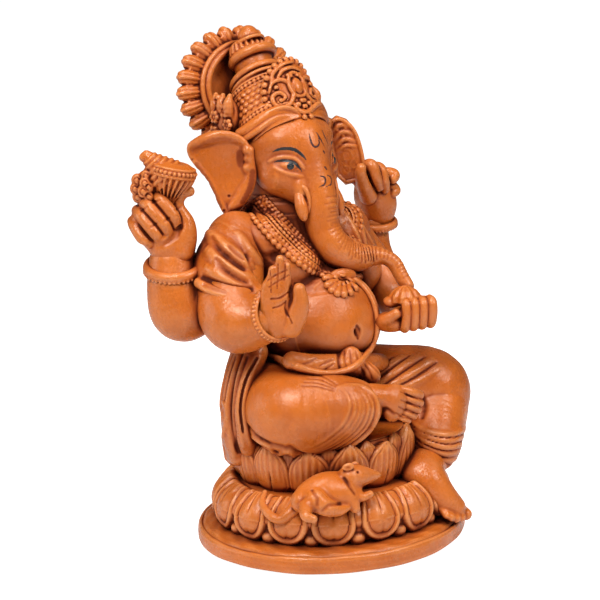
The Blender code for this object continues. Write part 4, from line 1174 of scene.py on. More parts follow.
def ear(side, node):
    """Fan-shaped ear: thin hollowed sheet with a rolled rim, a dark hole by the cheek and a pointed lobe."""
    outline = [(0.3, 8.9), (2.3, 13.7), (7.6, 16.3), (13.3, 16.5), (18.3, 14.9), (22.7, 11.8), (22.5, 7.9),
               (19.8, 3.8), (16.4, -0.6), (13.7, -5.7), (11.7, -10.5), (9.0, -13.9), (5.7, -11.8),
               (1.9, -7.6), (-0.3, -3.3), (-0.9, 2.4)]
    turn = spin(z=143)
    centre = np.array((-17.0, 19.5, 131.5))
    clay = Clay((-42, 8, 108), (-8, 46, 156), FINE)
    at = lambda *points: placed(centre, turn, points)
    bend = -0.010
    clay.add(slab(outline, 2.6, centre, turn, 0.9, bend))
    thick = [0.9, 1.6, 2.4, 2.5, 2.2, 1.4, 1.0, 1.0, 1.0, 1.1, 1.2, 1.6, 1.8, 1.8, 1.3, 0.8]
    middle = np.array((9.5, 3.5))
    rim = []
    for (x, z), r in zip(outline, thick):
        toward = middle - (x, z)
        x, z = np.array((x, z)) + toward / np.linalg.norm(toward) * r * 0.9
        rim.append((x, bend * x * x + 0.8, z, r))
    clay.add(tube(at(*rim, rim[0]), 4), 0.9)
    hollow = (11.5, 5.7)
    clay.cut(ball(at((hollow[0], 3.6, hollow[1]))[0], (10.2, 4.0, 12.0), turn), 1.8)
    cheek_side = [(0.7, 9.7, 1.7), (0.8, 5.4, 1.7), (0.6, -0.4, 1.8), (3.7, -5.4, 1.8), (7.4, -10.3, 1.5)]
    clay.add(tube(at(*[(x, 0.9, z, r) for x, z, r in cheek_side]), 4), 1.4)
    hole = (4.0, 6.6)
    clay.cut(ball(at((hole[0], 2.2, hole[1]))[0], (2.3, 2.0, 4.2), turn), 1.2)
    for (x, z), r in (((1.8, 9.7), 1.4), ((1.7, 6.8), 1.2), ((1.9, 3.6), 1.5)):
        clay.add(ball(at((x, 1.2, z))[0], r), 1.2)
    skin = copied(clay)
    for spot in ([(-39.1, 50.7)], [(-36.6, 46.7)], [(-33.7, 42.4)], [(-31.1, 37.6)], [(-29.3, 34.0)],
                 [(-25.7, 37.6)], [(-27.5, 32.2)], [(-35.1, 44.5)]):
        clay.cut(ball(laid(skin, spot)[0], 0.5), 0.3)
    name = "ear_%s_sculpt" % node.split("_")[0]
    STAINS[name] = [(laid(skin, [(-25.7, 37.6)]), 0.8, 1.0), (laid(skin, [(-33.7, 41.6)]), 0.6, 1.0),
                    (laid(skin, [(-21.7, 53.2), (-21.7, 51.4), (-21.4, 49.2)], 0, 4), 1.9, 0.8),
                    (laid(skin, [(-17.0, 46.3), (-18.1, 40.5), (-20.6, 35.5)], 0, 4), 1.6, 0.8),
                    (laid(skin, [(-37.6, 53.9), (-34.4, 56.8), (-28.2, 58.3), (-23.2, 56.8)], 0, 4), 1.4,
                     0.45),
                    (laid(skin, [(-37.3, 48.9), (-33.7, 43.8), (-31.1, 39.1), (-29.0, 34.0)], 0, 4), 1.4,
                     0.6)]
    if side > 0:
        clay.field = clay.field[::-1].copy()
        clay.low[0] = -(clay.low[0] + clay.step * (clay.count[0] - 1))
        STAINS[name] = [(mirror(path), radius, strength) for path, radius, strength in STAINS[name]]
    fire(name, clay, [node])


# --- Crown and halo ---

CROWN = np.array((0.0, 22.0, 146.5))
CROWN_TURN = spin(x=-40)


def scale_pattern(angle, height, depth):
    """Rows of rounded diamond scales."""
    row = np.floor(height / 2.2)
    s = (angle * 15.0 / 2.7 + 0.5 * (row % 2)) % 1.0 - 0.5
    t = (height / 2.2) % 1.0 - 0.45
    return depth * np.clip(1 - np.abs(s / 0.56) ** 1.5 - np.abs(t / 0.58) ** 1.5, 0, 1) ** 0.6


def crown():
    """Crown wall with a scale pattern, bead rows, a double brow band and a rolled ring on top."""
    clay = Clay((-26, -2, 128), (26, 52, 182), FINE)
    flat = 0.84
    wall = [(16.6, -4.0), (17.6, 0.0), (17.2, 4.0), (16.2, 9.0), (14.2, 14.5), (11.4, 19.5), (9.6, 22.6),
            (8.0, 24.5)]

    def wave(angle, height):
        return scale_pattern(angle, height, 0.75) * ramp(height, 4.6, 5.4) * (1 - ramp(height, 15.4, 16.2))

    clay.add(turned(wall, CROWN, CROWN_TURN, wave, flat))
    for height, radius, bead in ((17.0, 13.0, 0.9), (3.6, 17.4, 0.85)):
        for lift in (-1.3, 1.3):
            clay.add(hoop(CROWN + CROWN_TURN @ (0, 0, height + lift), radius + 0.1 - lift * 0.25, 0.5,
                          CROWN_TURN, flat), 0.2)
        count = int(2 * math.pi * radius / (2.1 * bead))
        for k in range(count):
            a = 2 * math.pi * k / count
            spot = CROWN + CROWN_TURN @ (radius * math.cos(a), flat * radius * math.sin(a), height)
            clay.add(ball(spot, bead), 0.15)
    clay.add(hoop(CROWN + CROWN_TURN @ (0, 0, 23.6), 9.0, 1.6, CROWN_TURN), 0.4)
    clay.add(hoop(CROWN + CROWN_TURN @ (0, 0, 20.8), 10.4, 0.9, CROWN_TURN, 0.95), 0.3)
    # The band follows the brow: high over the eyes, dipping to a point at the middle, down to the ears.
    upper = [(-18.6, 23.4, 147.8), (-16.4, 18.6, 150.8), (-12.4, 14.9, 154.4), (-8.0, 11.8, 156.0),
             (-3.6, 10.4, 154.5), (0.0, 9.8, 151.3)]
    lower = [(-18.4, 20.9, 145.5), (-16.2, 16.7, 148.4), (-12.0, 13.8, 151.6), (-7.6, 11.8, 152.8),
             (-3.2, 10.5, 151.2), (0.0, 9.4, 148.3)]
    middle = (np.array(upper) + lower) / 2 + (0, 1.6, 0)
    path = np.column_stack([middle, np.full(len(middle), 2.2)])
    clay.add(tube([*path, *mirror(path[:-1][::-1])], 5), 0.5)
    for half, thick in ((upper, 0.95), (lower, 1.25)):
        path = np.array([(*p, thick) for p in half])
        clay.add(tube([*path, *mirror(path[:-1][::-1])], 5), 0.25)
    clay.cut(ball((0, 23, 136.0), (15.0, 15, 14)), 0.6)
    fire("crown_sculpt", clay, ["crown"])


def spiral(centre, turn, start, turns, sense, width):
    """Stations of a flat spiral scroll."""
    out = []
    for k in range(22):
        t = k / 21
        a = sense * t * turns * 2 * math.pi + math.pi / 2
        r = start * (1 - 0.82 * t)
        out.append((r * math.cos(a), 0.0, r * math.sin(a), width * (1 - 0.35 * t)))
    return placed(centre, turn, out)


def crown_plate():
    """Front plate: leaf outline, scalloped edge, drop-shaped gem in a setting, scrolls, fans and a flower."""
    turn = spin(x=-27)
    seat = np.array((0, 11.6, 155.0))
    clay = Clay((-16, -2, 142), (16, 36, 184), 0.3)
    outline = [(-9.8, -1.0), (-5.5, -3.0), (0, -4.6), (5.5, -3.0), (9.0, -1.0), (10.2, 4), (9.6, 9.5),
               (8.2, 14.2), (5.2, 17.6), (0, 19.2), (-5.6, 17.6), (-9.2, 14.2), (-11.4, 9.5), (-11.8, 4)]
    bend = 0.040
    clay.add(slab(outline, 3.0, seat, turn, 1.0, bend))
    skin = copied(clay)
    at = lambda *points: placed(seat, turn, [(p[0], -1.4 + bend * p[0] ** 2 + p[1], *p[2:]) for p in points])
    loop = spline([*outline, outline[0]], 3)
    for x, z, _ in along(np.column_stack([loop * 0.97, np.zeros(len(loop))]), 2.5)[:-1]:
        if z > -2:
            clay.add(ball(at((x, 0.1, z))[0], 1.25), 0.2)
    gem = laid(skin, [(0.0, 77.5)])[0]
    clay.add(ball(gem * (0, 1, 1), (2.3, 1.6, 3.3), turn), 0.2)
    ring = [(3.5 * math.sin(a), -0.2, (4.7 + 0.6 * math.cos(a)) * math.cos(a), 0.75)
            for a in np.linspace(0, 2 * np.pi, 17)]
    clay.add(tube(placed(gem * (0, 1, 1), turn, ring), 2), 0.15)
    curl = [(-11.2, 74.9), (-10.1, 78.2), (-6.9, 79.6), (-3.6, 77.8), (-2.5, 74.2), (-3.6, 71.0),
            (-6.5, 69.5), (-9.4, 71.0), (-9.8, 73.5), (-7.6, 74.9), (-5.4, 73.5), (-6.2, 72.0)]
    stroke(clay, skin, curl, 0.95, 0.2, 0.15, both=True)
    arcs = [
        [(-10.5, 78.2), (-9.8, 81.8), (-6.5, 85.1), (-2.5, 86.2)],
        [(-8.3, 80.0), (-6.5, 82.9), (-3.3, 84.0), (-0.4, 82.9)],
        [(-2.5, 71.3), (-1.1, 69.1), (1.4, 67.7), (3.3, 69.1)],
        [(-10.1, 68.1), (-6.2, 68.1), (-3.3, 69.1)],
        [(1.1, 85.4), (2.9, 82.5), (4.0, 79.6)],
    ]
    for k, arc in enumerate(arcs):
        stroke(clay, skin, arc, 0.85, 0.2, 0.15, both=k > 1)
    for spot, size in (((-0.7, 70.6), 1.0), ((1.1, 72.0), 1.0), ((2.9, 71.0), 0.9), ((1.1, 69.9), 0.9),
                       ((1.4, 66.2), 1.1), ((-8.7, 76.7), 0.9), ((-4.7, 81.1), 0.8), ((-1.4, 81.1), 0.7),
                       ((-6.9, 72.0), 0.9)):
        heart = laid(skin, [spot], 0.4)
        for spots in (heart, mirror(heart)):
            clay.add(ball(spots[0], size), 0.15)
    fire("crown_plate_sculpt", clay, ["crown_plate"])


def finial():
    """Finial: wide rolled ring, fluted neck, flange and knob."""
    clay = Clay((-13, 24, 162), (13, 54, 190), FINE)
    lean = spin(x=-32)

    def flute(angle, height):
        return 0.5 * np.cos(20 * angle) * ramp(height, 4.2, 4.8) * (1 - ramp(height, 7.6, 8.2))

    clay.add(turned([(7.0, -4.0), (7.4, 0.0), (7.6, 3.4), (7.4, 4.4), (5.9, 8.4), (3, 8.6)], (0, 38.6, 170.0),
                    lean, flute))
    clay.add(hoop((0, 38.6, 172.0) + lean @ (0, 0, 0.2), 7.7, 1.75, lean), 0.5)
    clay.add(hoop((0, 40.0, 177.6), 5.0, 0.75, lean), 0.3)
    clay.add(ball((0, 40.6, 179.8), (4.2, 4.0, 3.4)), 0.6)
    clay.add(ball((0, 40.8, 181.6), (2.8, 2.6, 2.2)), 0.8)
    fire("crown_finial_sculpt", clay, ["crown_finial"])


HALO = np.array((0.0, 47.0, 160.5))


def halo():
    """Petal aureole: smooth inner ring, ribbed overlapping petals outside it, plain dished middle."""
    clay = Clay((-33, 38, 134), (33, 58, 188), 0.34)
    turn = spin(x=-8)
    clay.add(turned([(25.4, -1.4), (25.4, 1.4)], HALO, turn @ spin(x=90), depth=0.78))
    count = 22
    for k in range(count):
        a = 2 * math.pi * (k + 0.5) / count
        low = np.array((18.5 * math.sin(a), 0.4, 15.6 * math.cos(a)))
        high = np.array((26.8 * math.sin(a), 0.8, 21.6 * math.cos(a)))
        petal = [(*low, 2.9), (*(low + 0.5 * (high - low)), 3.3), (*(low + 0.8 * (high - low)), 2.9),
                 (*high, 1.7)]
        clay.add(tube(placed(HALO, turn, petal), 5), 0.35)

    def ribs(x, y, z):
        u, v, w = local(x, y, z, HALO, turn)
        angle = np.arctan2(u / 28.0, w / 21.4)
        rho = np.sqrt((u / 17.5) ** 2 + (w / 15.0) ** 2)
        phase = (angle / (2 * np.pi) * count) % 1.0 - 0.5
        rib = -0.36 * np.abs(np.sin(phase * 2 * np.pi * 1.5)) ** 4
        return rib * ramp(rho, 1.10, 1.2) * (np.abs(phase) < 0.47) + 0 * v

    clay.relief(ribs)
    for radius, rise, thick in ((17.0, 14.7, 1.5), (19.4, 16.6, 1.0)):
        ring = [(radius * math.sin(a), -2.9, rise * math.cos(a), thick)
                for a in np.linspace(0, 2 * np.pi, 40)]
        clay.add(tube(placed(HALO, turn, ring), 1), 0.3)
    fire("halo_sculpt", clay, ["halo"])


def rosette(side, node):
    """Cluster of flowers and buds where the crown's band meets the ear."""
    middle = np.array((side * 18.0, 32.0, 151.5))
    clay = Clay(middle - (12, 13, 15), middle + (12, 13, 15), FINE)
    clay.add(ball(middle, (4.2, 6.0, 7.6)))
    blooms = [((2.8, -3.0, 3.4), 2.5), ((3.0, -4.6, -1.6), 2.2), ((2.4, 1.6, 6.4), 2.4),
              ((3.4, 2.4, -4.6), 2.5), ((3.8, 1.6, 1.0), 2.3), ((1.6, 6.6, -8.0), 2.3)]
    for (x, y, z), size in blooms:
        heart = middle + (side * x, y, z)
        clay.add(ball(heart, size * 0.5), 0.2)
        for k in range(6):
            a = 2 * math.pi * k / 6
            off = np.array((0.35 * side, math.cos(a), math.sin(a))) * size * 0.72
            clay.add(ball(heart + off, size * 0.42), 0.2)
    for k in range(3):
        leaf = [(side * 1.0, -3.6 + 3.2 * k, -1.0, 1.4), (side * 2.8, -4.4 + 3.8 * k, 5.0, 1.9),
                (side * 1.4, -3.8 + 4.0 * k, 8.6, 0.9)]
        clay.add(tube([(*(middle + p[:3]), p[3]) for p in leaf], 4), 0.3)
    fire("rosette_%s_sculpt" % node.split("_")[0], clay, [node])


# --- Attributes, ornaments, mouse ---


def conch():
    """Conch: fluted cup, beaded rim, ringed spire leaning outward and a knobbly rolled lip."""
    clay = Clay(REAR_HAND + (-24, -18, 2), REAR_HAND + (18, 18, 38), 0.3)
    spot = lambda *p: placed(REAR_HAND, VIEW, [p])[0]
    cup = VIEW @ spin(y=12)

    def flutes(angle, height):
        rib = 0.6 * np.cos(22 * angle - 0.35 * height)
        return rib * ramp(height, 0.5, 2.5) * (1 - ramp(height, 8.2, 9.2))

    heart = spot(0.7, -0.5, 11.2)
    clay.add(turned([(2.6, -3.0), (3.0, 0.0), (4.8, 3.2), (6.8, 6.4), (7.8, 9.2), (7.9, 11.0), (7.0, 12.6),
                     (5, 13.6)],
                    heart, cup, flutes))
    for height, radius, thick in ((9.4, 7.7, 0.55), (12.0, 7.3, 0.55)):
        clay.add(hoop(heart + cup @ (0, 0, height), radius, thick, cup), 0.2)
    for k in range(30):
        a = 2 * math.pi * k / 30
        clay.add(ball(heart + cup @ (7.8 * math.cos(a), 7.8 * math.sin(a), 10.7), 0.75), 0.15)
    spire = VIEW @ spin(y=-42)
    tip = spot(0.2, -0.5, 20.1)
    clay.add(turned([(6.6, -2.0), (6.2, 1.0), (4.6, 4.2), (3.2, 7.0), (2.2, 9.0), (1.6, 10.6), (0.8, 11.4)],
                    tip, spire), 0.6)
    for height, radius, thick in ((0.6, 6.1, 0.8), (2.5, 5.2, 0.8), (4.4, 4.2, 0.75), (6.3, 3.3, 0.7),
                                  (8.0, 2.5, 0.6)):
        clay.add(hoop(tip + spire @ (0, 0, height), radius, thick, spire), 0.2)
    clay.add(ball(spot(-7.2, -0.5, 26.6), 1.7), 0.4)
    clay.add(ball(spot(-6.5, -0.4, 16.3), (4.4, 3.6, 6.0), VIEW), 1.0)
    knobs = [(-9.8, -1.6, 18.8, 2.1), (-10.5, -1.8, 15.9, 2.0), (-9.8, -1.8, 13.0, 2.0),
             (-7.6, -2.2, 11.2, 1.9), (-7.6, -3.6, 15.2, 2.1), (-6.9, -3.8, 18.1, 2.0),
             (-5.6, -4, 16.7, 1.8), (-5.8, -3.6, 13.4, 1.8), (-6.5, -3, 20.6, 1.7)]
    for x, y, z, size in knobs:
        clay.add(ball(spot(x, y, z), (size, size, size * 1.15), VIEW), 0.25)
        curl = [(x + 0.55 * size * math.cos(a), y - size * 0.8, z + 0.6 * size * math.sin(a), 0.3)
                for a in np.linspace(0.4, 4.6, 6)]
        clay.cut(tube(placed(REAR_HAND, VIEW, curl), 2), 0.2)
    fire("conch_sculpt", clay, ["conch"])


def axe():
    """Ceremonial axe head: leaf-shaped blade with ribs and scrolls, on a short haft."""
    base = np.array((34.6, 26.5, 135.8))
    turn = VIEW @ spin(y=-15)
    clay = Clay(base + (-16, -16, -20), base + (16, 16, 20), FINE)
    outline = [(-4.4, -13.0), (2.6, -13.2), (4.8, -8), (5.6, -1), (5.2, 6), (3.0, 11.0), (-0.4, 13.4),
               (-3.8, 12.0), (-5.6, 5), (-6.2, -3), (-6.6, -9)]
    clay.add(slab(outline, 4.0, base, turn, 1.2))
    at = lambda *points: placed(base, turn, [(p[0], p[1] - 1.8, *p[2:]) for p in points])
    loop = spline([*outline, outline[0]], 3) * 0.9
    clay.add(tube(at(*[(x, -0.1, z, 0.75) for x, z in loop]), 1), 0.3)
    for z, bow in ((9.6, 1.3), (6.9, 1.6), (4.0, 1.6), (1.6, 1.4)):
        clay.add(tube(at((-3.6, 0.3, z - bow, 0.7), (0, -0.1, z, 0.9), (3.6, 0.3, z - bow, 0.7)), 4), 0.5)
    for x, z, size, sense in ((-0.9, -2.2, 2.5, -1), (1.3, -6.2, 2.0, 1), (-2.6, -7.6, 1.7, -1)):
        clay.add(tube(spiral(at((x, 0.3, z))[0], turn, size, 1.3, sense, 0.8), 1), 0.3)
    for x, z in ((-1.6, 8.2), (1.6, 8.2), (-2.0, 2.8), (2.0, 2.8), (0, 5.5)):
        clay.add(ball(at((x, 0.2, z))[0], 0.8), 0.2)
    clay.add(tube(placed(base, turn, [(0.5, 0.5, -12, 2.4), (2.2, 0.5, -19, 2.2)]), 1), 0.8)
    fire("axe_sculpt", clay, ["ceremonial_axe"])


def sweet():
    """Modak: a pleated sweet with a pinched top, its base spread over the palm."""
    clay = Clay((0, -34, 76), (40, -4, 98), FINE)
    heart = np.array((21.1, -18.5, 85.9))
    pleat = lambda angle, height: 0.35 * np.cos(10 * angle) * (1 - ramp(height, 4.5, 6.5))
    clay.add(turned([(3.4, -1.6), (5.6, 0), (5.4, 2.0), (4.0, 3.8), (2.0, 5.0), (0.8, 5.4)], heart, None,
                    pleat))
    clay.add(ball(heart + VIEW @ (6.5, 0.4, -0.6), (4.2, 3.4, 2.0), VIEW), 0.5)
    clay.add(ball(heart + VIEW @ (-4.6, 0.0, -0.4), (3.4, 3.2, 2.2), VIEW), 0.5)
    fire("sweet_sculpt", clay, ["sweet"])


def necklaces():
    """Two broad necklaces of bead rows between plain cords."""
    base = BLOCKS["torso_sculpt"]
    outer = np.array([(-20.6, 34.0), (-15.6, 27.5), (-9.0, 20.3), (-1.4, 13.8), (6.5, 9.0), (12.7, 7.6)])
    inner = np.array([(-12.3, 37.6), (-7.2, 31.5), (-1.1, 24.6), (4.7, 18.5), (10.1, 14.1), (14.5, 11.9)])
    back = (np.array((-20.0, 23.0, 117.5)), np.array((-15.5, 25.0, 121.0)))
    rows = {
        "bead_garland": ((0.0, 1.25, 0, 0.5), (0.14, 0, 0.6, 0.5), (0.26, 0.95, 0, 0.5), (0.38, 0, 0.6, 0.6)),
        "bead_necklace": ((0.52, 0.9, 0, 0.4), (0.64, 0.95, 0, 0.5), (0.76, 0, 0.5, 0.6),
                          (0.86, 0.9, 0, 0.6), (0.98, 0.85, 0, 0.6)),
    }
    backing = {"bead_garland": 0.19, "bead_necklace": 0.75}
    for name, lines in rows.items():
        clay = Clay((-28, -20, 84), (28, 32, 126), 0.32)
        for share, bead, cord, rise in lines:
            spots = outer + share * (inner - outer)
            start = back[0] + share * (back[1] - back[0])
            necklace_row(clay, base, spots, start, bead, cord, rise)
        half = laid(base, outer + backing[name] * (inner - outer), -0.5, 6)[:, :3]
        for part in (half, mirror(half)):
            clay.add(tube(np.column_stack([part, np.full(len(part), 1.5)]), 1), 0.3)
        fire(f"{name}_sculpt", clay, [name])


def pendant():
    """Scalloped pendant: a curl in the middle, a fan of lobes and a second fan outside it."""
    base = BLOCKS["torso_sculpt"]
    clay = Clay((-14, -26, 80), (18, 2, 106), 0.3)
    hub = np.array((15.2, 8.3))
    clay.add(ball(laid(base, [hub])[0], (6.0, 2.0, 3.4), spin(z=-10)))
    for count, reach_x, reach_y, size in ((9, 6.2, 6.6, 1.45), (7, 3.9, 4.0, 1.0)):
        for k in range(count):
            a = math.radians(188 + 172 * k / (count - 1))
            tip = hub + (reach_x * math.cos(a), reach_y * math.sin(a))
            root = hub + 0.62 * (tip - hub)
            path = laid(base, [root, (root + tip) / 2, tip], 0.5)
            clay.add(tube(np.column_stack([path, (size * 0.7, size * 0.95, size)]), 2), 0.12)
    scroll = [hub + ((0.2 + 2.0 * (1 - t)) * math.cos(7 * t), (0.2 + 1.8 * (1 - t)) * math.sin(7 * t))
              for t in np.linspace(0, 1, 12)]
    path = laid(base, scroll, 1.6)
    clay.add(tube(np.column_stack([path, np.full(len(path), 0.6)]), 1), 0.12)
    fire("garland_pendant_sculpt", clay, ["garland_pendant"])


def sacred_thread():
    """Flat twisted cord that rounds the belly's left side and passes under it over the lap."""
    base = [BLOCKS[name]
            for name in ("torso_sculpt", "right_leg_sculpt", "left_leg_sculpt", "waist_cloth_sculpt")]
    clay = Clay((-34, -34, 54), (30, 14, 100), FINE)
    line = [(19.2, 6.9), (23.2, 3.6), (26.1, -1.8), (27.3, -9.0), (26.1, -15.6), (22.8, -21.0), (18.5, -24.6),
            (13.0, -26.1), (7.2, -26.1), (1.4, -24.6), (-4.3, -22.4), (-10.1, -20.3)]
    centre = np.array((9.0, -9.0))
    for shift, width, rise in ((0.0, 1.2, 0.7), (0.75, 0.75, 0.8)):
        spots = [np.array(s) + (np.array(s) - centre) / np.linalg.norm(np.array(s) - centre) * shift
                 for s in line]
        path = laid(base, spots, rise, 5)
        for _ in range(10):
            path[1:-1] = (path[:-2] + path[1:-1] * 2 + path[2:]) / 4
        clay.add(tube(np.column_stack([path, np.full(len(path), width)]), 1), 0.3)
    fire("sacred_thread_sculpt", clay, ["sacred_thread"])


def mouse():
    """Mouse stretched over the petals: rump down, head up on the upper lotus, tail curled behind."""
    clay = Clay((-56, -50, 8), (4, -4, 44), FINE)
    clay.add(tube([(-36.5, -26.5, 25.4, 4.0), (-32.2, -27.4, 26.8, 5.6), (-27.3, -28.6, 27.4, 6.6),
                   (-22.2, -30.2, 27.3, 6.2), (-19.7, -31.6, 28.9, 5.0)], 5))
    clay.add(ball((-27.1, -31.5, 25.9), (7.5, 4.0, 4.6), VIEW @ spin(y=-12)), 2.0)
    clay.add(tube([(-19.8, -32.8, 31.7, 4.3), (-16.3, -33.6, 31.5, 3.8), (-13.0, -34.6, 31.1, 2.6),
                   (-9.5, -35.4, 30.7, 1.3)], 5), 0.8)
    clay.add(tube([(-38.5, -31.0, 24.8, 2.6), (-41.6, -34.5, 23.2, 1.9), (-40.2, -36.5, 22.3, 1.5)], 4), 0.8)
    clay.add(tube([(-34.8, -32.0, 26.7, 3.8), (-32.6, -34.5, 24.3, 3.2), (-28.4, -36.0, 22.6, 2.2),
                   (-25.3, -36.6, 22.7, 1.4)], 4), 1.6)
    clay.add(tube([(-22.4, -33.5, 27.8, 3.6), (-21.9, -35.5, 24.5, 2.8), (-21.5, -37.0, 21.9, 1.8)], 4), 1.6)
    clay.add(tube([(-19.7, -34.6, 27.4, 2.6), (-18.6, -37.0, 25.2, 1.7), (-15.3, -38.0, 25.7, 1.3)], 4), 0.9)
    rim = BLOCKS["lower_lotus_sculpt"]
    tail = laid(rim,
                [(0.4, -74.2), (-2.5, -77.5), (-6.2, -79.6), (-10.1, -78.6), (-12.7, -75.3), (-12.3, -71.7)],
                2.4)
    clay.add(tube(np.column_stack([tail, (3.0, 2.2, 1.8, 1.6, 1.3, 0.9)]), 5), 1.2)
    spot = (-22.2, -34.6, 36.3)
    clay.add(ball(spot, (2.2, 0.9, 1.4), VIEW @ spin(y=-15)), 0.5)
    clay.cut(ball(np.array(spot) + VIEW @ (0, -1.1, 0), (1.2, 0.6, 0.6), VIEW @ spin(y=-15)), 0.5)
    clay.add(ball((-15.8, -31.0, 34.8), (1.6, 0.9, 1.3), VIEW), 0.5)
    skin = copied(clay)
    STAINS["mouse_sculpt"] = [(laid(skin, [(21.0, -62.3)]), 0.8, 1.0)]
    clay.cut(ball(laid(skin, [(21.0, -62.3)])[0], 0.5), 0.3)
    for line in ([(4.3, -68.8), (6.2, -71.7), (6.2, -74.2)], [(15.9, -64.4), (18.1, -67.7), (19.9, -70.2)],
                 [(8.0, -76.4), (10.9, -74.2), (14.5, -73.8)]):
        stroke(clay, skin, line, 0.4, blend=1.0, dig=True)
    fire("mouse_sculpt", clay, ["mouse"])


# --- Materials ---


def node(tree, kind, **settings):
    """A shader node with some of its properties set."""
    made = tree.nodes.new(kind)
    for key, value in settings.items():
        setattr(made, key, value)
    return made


def mixed(tree, factor, first, second):
    """A colour mix node's result; inputs are sockets or colours."""
    mix = node(tree, "ShaderNodeMix", data_type="RGBA")
    for socket, value in ((mix.inputs[0], factor), (mix.inputs[6], first), (mix.inputs[7], second)):
        if isinstance(value, bpy.types.NodeSocket):
            tree.links.new(value, socket)
        else:
            socket.default_value = value
    return mix.outputs[2]


def noise(tree, scale, detail=4.0, rough=0.55):
    """A noise texture's value, in object space."""
    where = node(tree, "ShaderNodeTexCoord")
    tex = node(tree, "ShaderNodeTexNoise")
    tex.inputs["Scale"].default_value = scale
    tex.inputs["Detail"].default_value = detail
    tex.inputs["Roughness"].default_value = rough
    tree.links.new(where.outputs["Object"], tex.inputs["Vector"])
    return tex.outputs["Fac"]


def mapped(tree, value, low, high, to_low=0.0, to_high=1.0):
    """A value moved from one range to another, clamped."""
    made = node(tree, "ShaderNodeMapRange")
    tree.links.new(value, made.inputs["Value"])
    for key, number in (("From Min", low), ("From Max", high), ("To Min", to_low), ("To Max", to_high)):
        made.inputs[key].default_value = number
    return made.outputs["Result"]


def attribute(tree, name):
    """A per-point value of the mesh."""
    return node(tree, "ShaderNodeAttribute", attribute_name=name).outputs["Fac"]


def resin():
    """Satin orange-tan cast resin: waxy, mottled, with a dark red wash and painted shade in the recesses and
    rubbed ridges.
    """
    made = bpy.data.materials.new("cast_resin")
    made.use_nodes = True
    tree = made.node_tree
    shader = tree.nodes["Principled BSDF"]
    broad = mapped(tree, noise(tree, 45, 4), 0.35, 0.65)
    dust = mapped(tree, noise(tree, 120, 5, 0.65), 0.52, 0.75)
    speck = mapped(tree, noise(tree, 900, 5, 0.7), 0.56, 0.74)
    base = mixed(tree, broad, (0.50, 0.108, 0.010, 1), (0.63, 0.150, 0.016, 1))
    base = mixed(tree, mapped(tree, dust, 0, 1, 0, 0.5), base, (0.64, 0.225, 0.085, 1))
    shade = mapped(tree, noise(tree, 80, 5, 0.6), 0.5, 0.75)
    base = mixed(tree, mapped(tree, shade, 0, 1, 0, 0.35), base, (0.36, 0.062, 0.008, 1))
    recess = attribute(tree, "recess")
    ridge = attribute(tree, "ridge")
    base = mixed(tree, mapped(tree, ridge, 0.05, 0.8, 0.0, 0.6), base, (0.86, 0.34, 0.11, 1))
    # Painted shade and dark wash: a high recess value darkens the colour to red-brown, then to near black in
    # the deepest places; it also roughens and dulls the gloss below.
    base = mixed(tree, mapped(tree, recess, 0.15, 0.7, 0.0, 0.78), base, (0.26, 0.038, 0.008, 1))
    base = mixed(tree, mapped(tree, recess, 0.65, 1.0, 0.0, 0.9), base, (0.060, 0.008, 0.004, 1))
    base = mixed(tree, mapped(tree, speck, 0, 1, 0, 0.22), base, (0.16, 0.025, 0.008, 1))
    tree.links.new(base, shader.inputs["Base Color"])
    rough = node(tree, "ShaderNodeMath", operation="ADD")
    tree.links.new(mapped(tree, noise(tree, 160, 4), 0.3, 0.7, 0.20, 0.37), rough.inputs[0])
    tree.links.new(mapped(tree, recess, 0.1, 0.9, 0.0, 0.3), rough.inputs[1])
    tree.links.new(rough.outputs[0], shader.inputs["Roughness"])
    tree.links.new(mapped(tree, recess, 0.3, 0.9, 0.6, 0.12), shader.inputs["Specular IOR Level"])
    shader.inputs["Specular Tint"].default_value = (1.0, 0.86, 0.74, 1)
    bump = node(tree, "ShaderNodeBump")
    bump.inputs["Strength"].default_value = 0.45
    bump.inputs["Distance"].default_value = 0.0003
    height = node(tree, "ShaderNodeMath", operation="ADD")
    tree.links.new(noise(tree, 1100, 4, 0.6), height.inputs[0])
    tree.links.new(mapped(tree, noise(tree, 260, 3), 0, 1, 0, 1.8), height.inputs[1])
    tree.links.new(height.outputs[0], bump.inputs["Height"])
    tree.links.new(bump.outputs["Normal"], shader.inputs["Normal"])
    return made


def paint(name, colour, roughness):
    """Thin brushed paint, slightly uneven."""
    made = bpy.data.materials.new(name)
    made.use_nodes = True
    tree = made.node_tree
    shader = tree.nodes["Principled BSDF"]
    streak = mapped(tree, noise(tree, 1200, 4), 0.4, 0.7, 0.0, 0.6)
    tree.links.new(mixed(tree, streak, (*colour, 1), (*[c * 1.8 + 0.01 for c in colour], 1)),
                   shader.inputs["Base Color"])
    tree.links.new(mapped(tree, noise(tree, 500), 0.3, 0.7, roughness - 0.06, roughness + 0.1),
                   shader.inputs["Roughness"])
    return made


# --- Build ---


